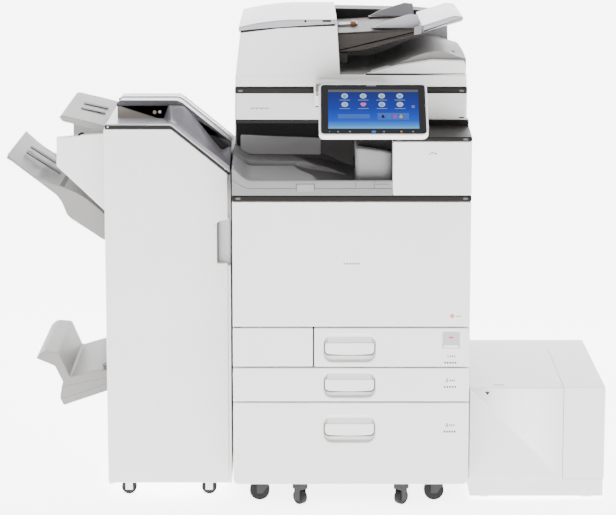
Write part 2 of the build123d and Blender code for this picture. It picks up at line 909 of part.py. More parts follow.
# Platen glass and the narrow glass for the feeder
with BuildPart() as platen_glass:
    for x0, width in ((strip_glass_left, strip_glass), (glass_left, glass_length)):
        block(x0, x0 + width, glass_y0, glass_y0 + glass_depth, band_top - glass_thick, band_top)
platen_glass.part.label = "platen_glass"
export_step(platen_glass.part, "parts/platen_glass.step")

# Lamp carriage and the mirror carriage that follows at half its speed
lamp_x = strip_glass_left + strip_glass / 2
carriage_low = scanner_low + 21.0
bore = rail_diameter + 2 * axle_play
for name, x, width in (
    ("scan_carriage", lamp_x, carriage_width),
    ("mirror_carriage", scan_x0 + 2 + mirror_width / 2, mirror_width),
):
    with BuildPart() as carriage:
        block(
            x - width / 2,
            x + width / 2,
            rail_front - 12,
            rail_rear + 12,
            carriage_low,
            carriage_low + carriage_height,
        )
        for y in (rail_front, rail_rear):
            rod_x(y, rail_z, x - width / 2 - 1, x + width / 2 + 1, bore, Mode.SUBTRACT)
        # Slanted mirror seat
        prism_y(
            [
                (x - 5, carriage_low + carriage_height + 1),
                (x + 5, carriage_low + carriage_height + 1),
                (x + 5, carriage_low + carriage_height - 4),
                (x - 5, carriage_low + carriage_height - 9),
            ],
            rail_front + 8,
            rail_rear - 8,
            Mode.SUBTRACT,
        )
    carriage.part.label = name
    export_step(carriage.part, f"parts/{name}.step")

# ================================================================ document feeder
lid_left = main_left + scanner_side + 1
lid_right = main_right - scanner_side - 1
lid_front = scanner_front + lid_setback
lid_back = scanner_rear - lid_setback
feeder_right = lid_left + feeder_width
feeder_top = lid_low + feeder_height + 12
rear_wall_y = lid_back - feeder_back_depth
rear_wall_top = lid_top + feeder_back_height
tray_x0 = feeder_right - input_tray_overlap
input_low = lid_top + input_tray_low
input_pin_x = tray_x0 + 7.0
input_pin_z = input_low + 30.0
with BuildPart() as lid_body:
    # Left feeder block with a leaning left side and a rising top edge
    prism_y(
        [
            (lid_left, lid_low),
            (lid_right, lid_low),
            (lid_right, lid_top),
            (feeder_right + 12, lid_top),
            (feeder_right, feeder_top + feeder_rise),
            (lid_left + feeder_lean + 60, feeder_top + 8),
            (lid_left + feeder_lean, feeder_top),
            (lid_left + feeder_lean / 2, feeder_top - 20),
        ],
        lid_front,
        lid_back,
    )
    # Output tray under the input tray
    prism_y(
        [
            (feeder_right + 10, lid_top - 5),
            (lid_right, lid_top - 5),
            (lid_right - 1, lid_top + output_low),
            (lid_right - 5, lid_top + 37),
            (lid_right - 20, lid_top + 46),
            (lid_right - 87, lid_top + output_crest),
            (lid_right - 130, lid_top + 40),
            (lid_right - 181, lid_top + output_low),
            (feeder_right + 16, lid_top + output_low - 5),
        ],
        lid_front,
        rear_wall_y + 2,
    )
    # Rear wall that holds the drive
    block(feeder_right + 10, lid_right - 22, rear_wall_y, lid_back, lid_top - 5, rear_wall_top)
    # Paper path from the input tray into the feeder block
    mouth_low = lid_top + input_tray_low
    prism_y(
        [
            (feeder_right - 70, mouth_low - 6),
            (feeder_right + 20, mouth_low - 6),
            (feeder_right + 20, mouth_low + 100),
            (feeder_right - 70, mouth_low + 100),
        ],
        lid_front + 24,
        rear_wall_y - 6,
        Mode.SUBTRACT,
    )
    # Bore for the input tray's pins
    bore_y1 = rear_wall_y + 4
    rod_y(input_pin_x, input_pin_z, lid_front + 10, bore_y1, input_pin + 2 * axle_play, Mode.SUBTRACT)
    # Knuckles that turn on the scanner's hinge pins
    for side in (-1, 1):
        x = main_mid + side * lid_knuckle_x
        low = lid_pin_z - lid_knuckle / 2
        block(
            x - lid_knuckle_half,
            x + lid_knuckle_half,
            lid_back - 4,
            lid_pin_y,
            low,
            low + lid_knuckle,
        )
        rod_x(lid_pin_y, lid_pin_z, x - lid_knuckle_half, x + lid_knuckle_half, lid_knuckle)
        pin_bore = axle_diameter + 2 * axle_play
        rod_x(lid_pin_y, lid_pin_z, x - lid_knuckle_half - 1, x + lid_knuckle_half + 1, pin_bore, Mode.SUBTRACT)
with BuildPart() as platen_pad:
    block(
        strip_glass_left + strip_glass + 8,
        glass_left + glass_length,
        glass_y0,
        glass_y0 + glass_depth,
        band_top + 0.35,
        lid_low,
    )
adf_body = Compound(label="adf_body", children=[lid_body.part.solid(), platen_pad.part.solid()])
export_step(adf_body, "parts/adf_body.step")

# Feed cover: the silver top of the feeder block, hinged along its left edge
cover_left = lid_left + feeder_lean - 4
cover_low = feeder_top + 0.8
cover_rise = feeder_rise
cover_right = feeder_right - 1.5
with BuildPart() as adf_feed_cover:
    prism_y(
        [
            (cover_left, cover_low),
            (cover_left + 64, cover_low + 8),
            (cover_right, cover_low + cover_rise),
            (cover_right, cover_low + cover_rise + 12),
            (cover_right - 110, cover_low + cover_rise + 14),
            (cover_left + 90, cover_low + feed_cover_thick),
            (cover_left + 40, cover_low + 20),
            (cover_left, cover_low + 7),
        ],
        lid_front + 1,
        lid_back - 26,
    )
adf_feed_cover.part.label = "adf_feed_cover"
export_step(adf_feed_cover.part, "parts/adf_feed_cover.step")

# Input tray: a gently bent plate that rises to the right
tray_y0 = lid_front + 26
tray_y1 = tray_y0 + input_tray_depth
knee_x = tray_x0 + 84.0
bend_x = tray_x0 + guide_start + guide_length + 10
bend_low = input_low + 0.65 * input_tray_rise
bend_top = bend_low + input_tray_thick + 2
root_top = input_low + input_tray_root
tray_end = tray_x0 + input_tray_length
with BuildPart() as adf_input_tray:
    prism_y(
        [
            (tray_x0, input_low),
            (knee_x, input_low + input_tray_knee),
            (bend_x, bend_low),
            (tray_end, input_low + input_tray_rise),
            (tray_end, input_low + input_tray_rise + input_tray_thick),
            (bend_x, bend_top),
            (tray_x0, root_top),
        ],
        tray_y0,
        tray_y1,
    )
    fillet(adf_input_tray.edges().filter_by(Axis.Y).group_by(Axis.X)[-1], radius=3)
    rod_y(input_pin_x, input_pin_z, lid_front + 12, tray_y0 + 1, input_pin)
    rod_y(input_pin_x, input_pin_z, tray_y1 - 1, bore_y1 - 2, input_pin)
adf_input_tray.part.label = "adf_input_tray"
export_step(adf_input_tray.part, "parts/adf_input_tray.step")

# Paper guides: an upright fence on a foot that slides on the input tray
guide_x0 = tray_x0 + guide_start
foot_slope = (bend_top - root_top) / (bend_x - tray_x0)
guide_foot = 3.0
tray_mid_y = (tray_y0 + tray_y1) / 2
for name, side in (("adf_guide_front", -1), ("adf_guide_rear", 1)):
    fence_y = tray_mid_y + side * guide_spread / 2
    foot_z = root_top + foot_slope * guide_start + 0.4
    foot_rise = foot_slope * guide_length
    inner = fence_y - side * 30
    with BuildPart() as guide:
        prism_y(
            [
                (guide_x0, foot_z),
                (guide_x0 + guide_length, foot_z + foot_rise),
                (guide_x0 + guide_length, foot_z + foot_rise + guide_foot),
                (guide_x0, foot_z + guide_foot),
            ],
            min(fence_y, inner),
            max(fence_y, inner),
        )
        outer = fence_y + side * guide_thick
        prism_y(
            [
                (guide_x0, foot_z),
                (guide_x0 + guide_length, foot_z + foot_rise),
                (guide_x0 + guide_length - 14, foot_z + foot_rise + guide_height * 0.8),
                (guide_x0 + guide_length * 0.4, foot_z + foot_rise / 2 + guide_height),
                (guide_x0, foot_z + guide_height),
            ],
            min(fence_y, outer),
            max(fence_y, outer),
        )
    guide.part.label = name
    export_step(guide.part, f"parts/{name}.step")

# ================================================================ operation panel
panel_normal = (0, -cos(radians(panel_elevation)), sin(radians(panel_elevation)))
panel_plane = Plane(origin=(panel_mid_x, panel_mid_y, panel_z), x_dir=(1, 0, 0), z_dir=panel_normal)
lug_up = hinge_behind * sin(radians(panel_elevation)) + hinge_above * cos(radians(panel_elevation))
key_drop = -50.0
with BuildPart() as panel_shell:
    with BuildSketch(panel_plane.offset(-panel_thick)):
        RectangleRounded(panel_width, panel_height, panel_radius)
    extrude(amount=panel_thick)
    fillet(panel_shell.faces().sort_by(Axis.Z)[-1:].edges(), radius=1.2)
    with BuildSketch(panel_plane.offset(-screen_thick)):
        RectangleRounded(panel_width - 2 * panel_rim, panel_height - 2 * panel_rim, panel_radius - panel_rim)
    extrude(amount=screen_thick + 1, mode=Mode.SUBTRACT)
    # Lugs that hang on the bracket's pins
    for side in (-1, 1):
        lug_inner = main_mid + side * (hinge_half + 0.6)
        lug_outer = lug_inner + side * lug_width
        lug_x0 = min(lug_inner, lug_outer)
        lug_plane = Plane(origin=(lug_x0, hinge_y, hinge_z), x_dir=(0, 1, 0), z_dir=(1, 0, 0))
        with BuildSketch(lug_plane):
            Circle(hinge_radius)
        extrude(amount=lug_width)
        with BuildSketch(panel_plane.offset(-panel_thick - 15)):
            with Locations((lug_x0 + lug_width / 2 - panel_mid_x, lug_up - hinge_radius)):
                Rectangle(lug_width, 2 * hinge_radius)
        extrude(amount=15.5)
        with BuildSketch(lug_plane.offset(-1)):
            Circle(axle_diameter / 2 + axle_play)
        extrude(amount=lug_width + 2, mode=Mode.SUBTRACT)
    # Seat of the power key in the right edge
    key_plane = Plane(
        origin=panel_plane.from_local_coords((panel_width / 2 - 9, key_drop, -panel_thick / 2)),
        x_dir=(0, 1, 0),
        z_dir=(1, 0, 0),
    )
    with BuildSketch(key_plane):
        Circle(key_diameter / 2 + key_play)
    extrude(amount=10, mode=Mode.SUBTRACT)
panel_shell.part.label = "panel_shell"
export_step(panel_shell.part, "parts/panel_shell.step")

with BuildPart() as panel_screen:
    with BuildSketch(panel_plane.offset(-screen_thick)):
        RectangleRounded(
            panel_width - 2 * panel_rim - 2 * screen_play,
            panel_height - 2 * panel_rim - 2 * screen_play,
            panel_radius - panel_rim - screen_play,
        )
    extrude(amount=screen_thick)
panel_screen.part.label = "panel_screen"
export_step(panel_screen.part, "parts/panel_screen.step")

with BuildPart() as panel_key:
    with BuildSketch(key_plane.offset(2.0)):
        Circle(key_diameter / 2)
    extrude(amount=7 + key_stand)
panel_key.part.label = "panel_key"
export_step(panel_key.part, "parts/panel_key.step")

# ================================================================ main unit: right side doors
door_r = main_right
bypass_y0 = jam_y0 + bypass_margin
bypass_y1 = jam_y1 - bypass_margin
bypass_z0 = jam_low + bypass_bottom
pocket_play = 2.0
with BuildPart() as right_door:
    prism_y(
        [
            (door_r - jam_thick, jam_low),
            (door_r - 3, jam_low),
            (door_r, jam_low + 3),
            (door_r, jam_top),
            (door_r - 4, jam_top),
            (door_r - jam_thick, jam_top - 8),
        ],
        jam_y0,
        jam_y1,
    )
    block(
        door_r - bypass_pocket,
        door_r + 1,
        bypass_y0 - pocket_play,
        bypass_y1 + pocket_play,
        bypass_z0 - pocket_play,
        bypass_z0 + bypass_length + pocket_play,
        Mode.SUBTRACT,
    )
    # Release grip above the bypass tray
    block(
        door_r - 14,
        door_r + 1,
        (jam_y0 + jam_y1) / 2 - 60,
        (jam_y0 + jam_y1) / 2 + 60,
        jam_top - 84,
        jam_top - 50,
        Mode.SUBTRACT,
    )
right_door.part.label = "right_door"
export_step(right_door.part, "parts/right_door.step")

with BuildPart() as bypass_tray:
    block(
        door_r - bypass_pocket + 3,
        door_r - bypass_pocket + 3 + bypass_thick,
        bypass_y0,
        bypass_y1,
        bypass_z0,
        bypass_z0 + bypass_length,
    )
    bottom_edges = bypass_tray.edges().filter_by(Axis.Y).group_by(Axis.Z)[0]
    fillet(bottom_edges, radius=bypass_thick / 2 - 0.05)
    for y in (bypass_y0, bypass_y1):
        rod_y(
            door_r - bypass_pocket + 3 + bypass_thick / 2,
            bypass_z0 + bypass_thick / 2,
            y - pocket_play + seat,
            y + pocket_play - seat,
            5.0,
        )
bypass_tray.part.label = "bypass_tray"
export_step(bypass_tray.part, "parts/bypass_tray.step")

# ================================================================ finisher
fin_front = front + finisher_setback
fin_back = fin_front + finisher_depth
fin_slope_x = finisher_left + slope_start
fin_wall = 3.0
door_space = finisher_door_thick + 2.0
cab_front = fin_front + door_space
cab_top = finisher_top_z - 0.9
low_top = finisher_low_z - 0.9
cabinet_solids = plates(
    [
        (finisher_left, finisher_right, cab_front, fin_back, finisher_bottom, finisher_bottom + fin_wall),
        (finisher_left, finisher_left + fin_wall, cab_front, fin_back, finisher_bottom + fin_wall, cab_top),
        (finisher_right - fin_wall, finisher_right, cab_front, fin_back, finisher_bottom + fin_wall, low_top),
        (
            finisher_left + fin_wall,
            fin_slope_x,
            cab_front + fin_wall,
            fin_back - fin_wall,
            cab_top - fin_wall,
            cab_top,
        ),
    ]
)
gable = [
    (finisher_left + fin_wall, finisher_bottom + fin_wall),
    (finisher_right - fin_wall, finisher_bottom + fin_wall),
    (finisher_right - fin_wall, low_top),
    (fin_slope_x, cab_top),
    (finisher_left + fin_wall, cab_top),
]
for y0 in (cab_front, fin_back - fin_wall):
    with BuildPart() as gable_plate:
        prism_y(gable, y0, y0 + fin_wall)
    cabinet_solids.append(gable_plate.part.solid())
# Latch post at the right of the door
with BuildPart() as latch_post:
    block(
        finisher_right - finisher_door_inset + 0.5,
        finisher_right,
        fin_front,
        cab_front,
        finisher_bottom,
        latch_bottom - 6,
    )
cabinet_solids.append(latch_post.part.solid())
# Lug and pin under the door's left edge
fin_axis_x = finisher_left + 8.0
fin_axis_y = fin_front + 9.0
with BuildPart() as door_lug:
    block(
        finisher_left + 2,
        finisher_left + 14,
        fin_front + 3,
        cab_front + 10,
        finisher_bottom - 3,
        finisher_bottom - 0.5,
    )
    rod_z(fin_axis_x, fin_axis_y, finisher_bottom - 0.5, finisher_bottom + 12, door_pin)
    block(finisher_left + 2, finisher_left + 14, cab_front, cab_front + 10, finisher_bottom - 0.5, finisher_bottom)
cabinet_solids.append(door_lug.part.solid())
# Docking studs that meet the main unit
fin_mid_y = (fin_front + fin_back) / 2
for z in (300.0, 700.0):
    with BuildPart() as dock_stud:
        rod_x(fin_mid_y, z, finisher_right, main_left - dock_play, stud_diameter)
    cabinet_solids.append(dock_stud.part.solid())
# Side fences that guide the stack on the shift tray
fence = [
    (finisher_left - fence_reach, finisher_top_z - 28),
    (finisher_left, finisher_top_z - 18),
    (finisher_left, finisher_top_z - 213),
    (finisher_left - fence_reach - 1, finisher_top_z - 98),
]
fence_front = fin_front + fence_inset
fence_back = fence_front + fence_thick + 2 * tray_play + tray_depth
for y0 in (fence_front, fence_back):
    with BuildPart() as fence_plate:
        prism_y(fence, y0, y0 + fence_thick)
    cabinet_solids.append(fence_plate.part.solid())
# Caster forks: a plate, two cheeks and the axle, at each corner
fin_caster_x = (finisher_left + 49.0, finisher_right - 59.0)
fin_caster_y = (fin_front + 60.0, fin_back - 60.0)
small_arm = small_width / 2 + cheek_play
for x in fin_caster_x:
    for y in fin_caster_y:
        with BuildPart() as fin_fork:
            block(
                x - 15,
                x + 15,
                y - small_arm - cheek,
                y + small_arm + cheek,
                small_wheel + 2,
                finisher_bottom,
            )
            for side in (-1, 1):
                inner = y + side * small_arm
                outer = inner + side * cheek
                block(x - 9, x + 9, min(inner, outer), max(inner, outer), small_wheel / 2 - 7, small_wheel + 2)
            rod_y(x, small_wheel / 2, y - small_arm - cheek, y + small_arm + cheek, axle_diameter)
        cabinet_solids.append(fin_fork.part.solid())
finisher_cabinet = Compound(label="finisher_cabinet", children=cabinet_solids)
export_step(finisher_cabinet, "parts/finisher_cabinet.step")

for name, x in zip(("finisher_wheels_left", "finisher_wheels_right"), fin_caster_x):
    with BuildPart() as wheels:
        for y in fin_caster_y:
            rod_y(x, small_wheel / 2, y - small_width / 2, y + small_width / 2, small_wheel)
        fillet(wheels.edges().filter_by(GeomType.CIRCLE), radius=2.5)
        for y in fin_caster_y:
            rod_y(
                x,
                small_wheel / 2,
                y - small_width,
                y + small_width,
                axle_diameter + 2 * axle_play,
                Mode.SUBTRACT,
            )
    wheels.part.label = name
    export_step(wheels.part, f"parts/{name}.step")

# Finisher door: follows the slope of the top and has a finger notch at the right
fin_door_right = finisher_right - finisher_door_inset
door_slope = (finisher_low_z - finisher_top_z) / (finisher_right - fin_slope_x)
fin_door_low_z = finisher_top_z + door_slope * (fin_door_right - fin_slope_x)
with BuildPart() as finisher_door:
    prism_y(
        [
            (finisher_left, finisher_bottom),
            (fin_door_right, finisher_bottom),
            (fin_door_right, fin_door_low_z - 1.2),
            (fin_slope_x, finisher_top_z - 1),
            (finisher_left, finisher_top_z - 1),
        ],
        fin_front,
        fin_front + finisher_door_thick,
    )
    block(
        fin_door_right - latch_width,
        fin_door_right + 1,
        fin_front - 1,
        fin_front + finisher_door_thick - 4,
        latch_bottom,
        latch_bottom + latch_height,
        Mode.SUBTRACT,
    )
    left_uprights = finisher_door.edges().filter_by(Axis.Z).group_by(Axis.X)[0]
    fillet(left_uprights, radius=5)
    pin_bore = door_pin + 2 * door_pin_play
    rod_z(fin_axis_x, fin_axis_y, finisher_bottom - 1, finisher_bottom + 14, pin_bore, Mode.SUBTRACT)
finisher_door.part.label = "finisher_door"
export_step(finisher_door.part, "parts/finisher_door.step")

# Top deck with the raised box at the back
deck_low = finisher_top_z
deck_top = finisher_top_z + finisher_band
rear_box_y = fin_front + rear_box_setback
rear_box_back = rear_box_y + rear_box_depth
with BuildPart() as finisher_top:
    block(finisher_left + 6, fin_slope_x - 1, fin_front, fin_back, deck_low - 0.6, deck_top)
    prism_x(
        [
            (rear_box_y, deck_top - 2),
            (rear_box_y, deck_top + rear_box_height),
            (rear_box_back, deck_top + rear_box_height),
            (rear_box_back + rear_box_tail, deck_top + 1),
            (rear_box_back + rear_box_tail, deck_top - 2),
        ],
        finisher_left + rear_box_inset,
        fin_slope_x - 1,
    )
finisher_top.part.label = "finisher_top"
export_step(finisher_top.part, "parts/finisher_top.step")

# Slope cover between the deck and the main unit
slope_x0 = fin_slope_x + 1.0
slope_x1 = finisher_right - 1.0
slope_z0 = finisher_top_z + door_slope * (slope_x0 - fin_slope_x)
slope_z1 = finisher_top_z + door_slope * (slope_x1 - fin_slope_x)
slope_stretch = (1 + door_slope**2) ** 0.5
slope_shift = (slope_stretch - 1) / -door_slope
with BuildPart() as finisher_slope_cover:
    prism_y(
        [
            (slope_x0, slope_z0 - 0.5),
            (slope_x1, slope_z1 - 0.5),
            (slope_x1, slope_z1 + finisher_band),
            (slope_x0 + 4, slope_z0 + finisher_band),
            (slope_x0, slope_z0 + finisher_band),
        ],
        fin_front,
        fin_back,
    )
    # Raised rim behind the paper channel, and the lower cover that runs back from it
    for ramp_y0, ramp_y1, rise in (
        (rear_box_y, rear_box_back, rear_box_height),
        (rear_box_back - 2, rear_box_back + rear_box_tail, 14.0),
    ):
        prism_y(
            [
                (slope_x0, slope_z0 + finisher_band - 2),
                (slope_x1, slope_z1 + finisher_band - 2),
                (slope_x1, slope_z1 + finisher_band + rise * slope_stretch),
                (slope_x0 + rise * slope_shift, deck_top + rise),
                (slope_x0, deck_top + rise),
            ],
            ramp_y0,
            ramp_y1,
        )
finisher_slope_cover.part.label = "finisher_slope_cover"
export_step(finisher_slope_cover.part, "parts/finisher_slope_cover.step")

# Proof tray: a plate that leans up to the left from the deck's edge
proof_y0 = fence_front + 10
proof_y1 = proof_y0 + tray_depth + 40
with BuildPart() as proof_tray:
    prism_y(
        [
            (finisher_left + 5, finisher_top_z + 1),
            (finisher_left + 5, finisher_top_z - 0.6),
            (finisher_left - 0.4, finisher_top_z - 0.6),
            (finisher_left - 0.4, finisher_top_z - 14),
            (finisher_left - 104, finisher_top_z + 12),
            (finisher_left - 114, finisher_top_z + 24),
            (finisher_left - 104, finisher_top_z + 27),
        ],
        proof_y0,
        proof_y1,
    )
proof_tray.part.label = "proof_tray"
export_step(proof_tray.part, "parts/proof_tray.step")

# Shift tray: a deep wedge that rises away from the finisher
stack_y0 = fence_front + fence_thick + tray_play
stack_y1 = stack_y0 + tray_depth
wall_x = finisher_left - 0.5
with BuildPart() as shift_tray:
    prism_y(
        [
            (wall_x, finisher_top_z - 290),
            (wall_x, finisher_top_z - 229),
            (wall_x - 126, finisher_top_z - 128),
            (wall_x - tray_reach + 4, finisher_top_z - 74),
            (wall_x - tray_reach + 0.5, finisher_top_z - 82),
            (wall_x - 120, finisher_top_z - 174),
            (wall_x - 95, finisher_top_z - 229),
            (wall_x - 8, finisher_top_z - 290),
        ],
        stack_y0,
        stack_y1,
    )
shift_tray.part.label = "shift_tray"
export_step(shift_tray.part, "parts/shift_tray.step")

# Booklet tray: a shallow scoop low on the left
book_y0 = stack_y0 + 20
book_y1 = book_y0 + booklet_depth
book_z = 223.0
with BuildPart() as booklet_tray:
    prism_y(
        [
            (wall_x, book_z + 41),
            (wall_x, book_z + 110),
            (wall_x - 12, book_z + 93),
            (wall_x - 96, book_z + 75),
            (wall_x - 124, book_z + 139),
            (wall_x - 168, book_z + 143),
            (wall_x - 187, book_z + 124),
            (wall_x - 136, book_z + 102),
            (wall_x - 118, book_z + 60),
            (wall_x - 125, book_z + 18),
            (wall_x - 117, book_z),
        ],
        book_y0,
        book_y1,
    )
booklet_tray.part.label = "booklet_tray"
export_step(booklet_tray.part, "parts/booklet_tray.step")

# ================================================================ side paper bin
bin_front = front + bin_setback
bin_back = bin_front + bin_depth
bin_top = bin_bottom + bin_height
trim_top = bin_bottom + bin_trim
seam_x = bin_left + bin_seam
lid_end = bin_back - bin_back_fixed
bin_boxes = [
    (
        bin_left + bin_trim_inset,
        bin_right - bin_trim_inset,
        bin_front + bin_trim_inset,
        bin_back - bin_trim_inset,
        bin_bottom,
        trim_top,
    ),
    (bin_left, bin_left + bin_wall, bin_front + bin_wall, bin_back - bin_wall, trim_top, bin_top - bin_wall),
    (bin_left, seam_x - bin_seam_gap, bin_front, bin_front + bin_wall, trim_top, bin_top - bin_wall),
    (bin_left, bin_right, bin_back - bin_wall, bin_back, trim_top, bin_top - bin_wall),
    (bin_left, seam_x - bin_seam_gap, bin_front, bin_back, bin_top - bin_wall, bin_top),
    (seam_x - bin_seam_gap, bin_right, lid_end + bin_seam_gap, bin_back, bin_top - bin_wall, bin_top),
    (bin_right - bin_wall, bin_right, lid_end + bin_seam_gap, bin_back - bin_wall, trim_top, bin_top - bin_wall),
]
foot_height = bin_bottom
for x in (bin_left + 40, bin_right - 40):
    for y in (bin_front + 40, bin_back - 40):
        bin_boxes.append((x - 12, x + 12, y - 12, y + 12, 0, foot_height))
bin_solids = plates(bin_boxes)
for y in (bin_front + 120, bin_back - 120):
    with BuildPart() as bin_stud:
        rod_x(y, bin_top - 80, main_right + dock_play, bin_left, stud_diameter)
    bin_solids.append(bin_stud.part.solid())
lct_cabinet = Compound(label="lct_cabinet", children=bin_solids)
export_step(lct_cabinet, "parts/lct_cabinet.step")

# Lid: top, front and right side in one shell, hinged at the seam
with BuildPart() as lct_cover:
    block(seam_x, bin_right, bin_front, lid_end, bin_top - bin_wall, bin_top)
    block(bin_right - bin_wall, bin_right, bin_front, lid_end, trim_top + 1, bin_top)
    block(seam_x, bin_right, bin_front, bin_front + bin_wall, trim_top + 1, bin_top)
lct_cover.part.label = "lct_cover"
export_step(lct_cover.part, "parts/lct_cover.step")

# Lift plate under the paper stack
with BuildPart() as lct_lift_plate:
    block(
        bin_left + bin_wall + lift_plate_play,
        bin_right - bin_wall - lift_plate_play - 20,
        bin_front + 100,
        bin_back - 60,
        trim_top + 0.5,
        trim_top + 0.5 + lift_plate_thick,
    )
lct_lift_plate.part.label = "lct_lift_plate"
export_step(lct_lift_plate.part, "parts/lct_lift_plate.step")

# ================================================================ casters of the main unit
wheel_arm = wheel_width / 2 + cheek_play
corners = {
    "front_left": (main_mid - caster_x, front + caster_front),
    "front_right": (main_mid + caster_x, front + caster_front),
    "rear_left": (main_mid - caster_x, back - caster_back),
    "rear_right": (main_mid + caster_x, back - caster_back),
}
for corner, (x, y) in corners.items():
    pivot_x = x + caster_trail / 2
    wheel_x = x - caster_trail / 2
    with BuildPart() as fork:
        rod_z(pivot_x, y, body_bottom - seat - 3, body_bottom - seat, 44)
        block(
            min(wheel_x - 8, pivot_x - 14),
            max(wheel_x + 8, pivot_x + 14),
            y - wheel_arm - cheek,
            y + wheel_arm + cheek,
            wheel_diameter + 1,
            body_bottom - seat - 2,
        )
        for face in (-1, 1):
            inner = y + face * wheel_arm
            outer = inner + face * cheek
            prism_y(
                [
                    (wheel_x - 7, wheel_diameter / 2 - 7),
                    (wheel_x + 7, wheel_diameter / 2 - 7),
                    (pivot_x + 12, wheel_diameter + 1),
                    (min(wheel_x - 8, pivot_x - 12), wheel_diameter + 1),
                ],
                min(inner, outer),
                max(inner, outer),
            )
        rod_y(wheel_x, wheel_diameter / 2, y - wheel_arm - cheek, y + wheel_arm + cheek, axle_diameter)
    fork.part.label = f"caster_fork_{corner}"
    export_step(fork.part, f"parts/caster_fork_{corner}.step")
    with BuildPart() as wheel:
        rod_y(wheel_x, wheel_diameter / 2, y - wheel_width / 2, y + wheel_width / 2, wheel_diameter)
        fillet(wheel.edges().filter_by(GeomType.CIRCLE), radius=3)
        rod_y(
            wheel_x,
            wheel_diameter / 2,
            y - wheel_width,
            y + wheel_width,
            axle_diameter + 2 * axle_play,
            Mode.SUBTRACT,
        )
    wheel.part.label = f"caster_wheel_{corner}"
    export_step(wheel.part, f"parts/caster_wheel_{corner}.step")

# Small outrigger wheels under the front edge
for name, side in (("outrigger_wheel_left", -1), ("outrigger_wheel_right", 1)):
    wheel_plane = Plane(
        origin=(main_mid + side * outrigger_x, front + outrigger_y, small_wheel / 2),
        x_dir=(0, 0, 1),
        z_dir=(-side * sin(radians(45)), cos(radians(45)), 0),
    )
    with BuildPart() as small:
        with BuildSketch(wheel_plane.offset(-small_width / 2)):
            Circle(small_wheel / 2)
        extrude(amount=small_width)
        fillet(small.edges().filter_by(GeomType.CIRCLE), radius=2.5)
        with BuildSketch(wheel_plane.offset(-small_width)):
            Circle(axle_diameter / 2 + axle_play)
        extrude(amount=2 * small_width, mode=Mode.SUBTRACT)
    small.part.label = name
    export_step(small.part, f"parts/{name}.step")
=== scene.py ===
import math
import bmesh
import bpy
import numpy as np
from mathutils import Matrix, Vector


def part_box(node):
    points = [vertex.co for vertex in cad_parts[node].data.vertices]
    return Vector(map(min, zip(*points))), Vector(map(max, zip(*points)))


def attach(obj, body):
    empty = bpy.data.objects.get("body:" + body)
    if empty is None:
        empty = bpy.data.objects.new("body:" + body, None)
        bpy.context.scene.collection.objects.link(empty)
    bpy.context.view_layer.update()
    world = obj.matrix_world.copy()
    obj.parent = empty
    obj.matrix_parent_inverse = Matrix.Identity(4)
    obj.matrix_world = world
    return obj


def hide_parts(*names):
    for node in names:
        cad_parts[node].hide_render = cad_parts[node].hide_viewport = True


# Looks of a floor-standing colour photocopier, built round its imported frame.
# Lengths are millimetres in the frame's axes until a mesh is made: +X right, front faces -Y.

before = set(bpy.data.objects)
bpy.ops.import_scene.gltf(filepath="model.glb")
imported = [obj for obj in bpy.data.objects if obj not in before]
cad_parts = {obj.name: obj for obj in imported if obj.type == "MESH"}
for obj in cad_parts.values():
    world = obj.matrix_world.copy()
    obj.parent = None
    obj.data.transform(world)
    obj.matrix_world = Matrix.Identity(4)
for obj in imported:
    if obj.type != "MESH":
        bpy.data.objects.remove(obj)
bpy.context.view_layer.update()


def corners(node):
    """Lowest and highest corner of a CAD node, in millimetres."""
    low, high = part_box(node)
    return np.array(low) * 1000, np.array(high) * 1000


# ---------------------------------------------------------------- camera
# A long lens a few metres in front of the machine, a little above it and looking slightly down.
door_low, door_high = corners("front_door")
main_mid = (door_low[0] + door_high[0]) / 2
front = door_low[1]
camera_data = bpy.data.cameras.new("studio_camera")
camera = bpy.data.objects.new("studio_camera", camera_data)
bpy.context.scene.collection.objects.link(camera)
camera_offset = (-115.7, -6041.7, 1795.9)
camera.location = (
    (main_mid + camera_offset[0]) / 1000,
    (front + camera_offset[1]) / 1000,
    camera_offset[2] / 1000,
)
camera_pitch = 0.182
camera.rotation_euler = (math.pi / 2 - camera_pitch, 0, 0)
camera_data.sensor_width = 36
camera_data.lens = 146.2
camera_data.shift_x = 0.0056
camera_data.shift_y = -0.0315
camera_data.clip_end = 100
bpy.context.scene.camera = camera


# ---------------------------------------------------------------- floor and light
# A white sweep: the floor, a curve and the wall behind it are one sheet, lit by large soft boxes.
def sweep_profile(depth, rise, radius, steps):
    """Floor line, quarter circle and upright line: y and z along the sheet."""
    turn = np.linspace(0, np.pi / 2, steps)
    y = np.concatenate([[-depth], radius * np.sin(turn), [radius]])
    z = np.concatenate([[0], radius * (1 - np.cos(turn)), [rise]])
    return y, z


def plain_mesh(name, verts, faces, smooth=True):
    """An object from vertex and face arrays, in metres."""
    mesh = bpy.data.meshes.new(name)
    mesh.from_pydata(np.asarray(verts).tolist(), [], faces)
    mesh.update()
    if smooth:
        mesh.shade_smooth()
    item = bpy.data.objects.new(name, mesh)
    bpy.context.scene.collection.objects.link(item)
    return item


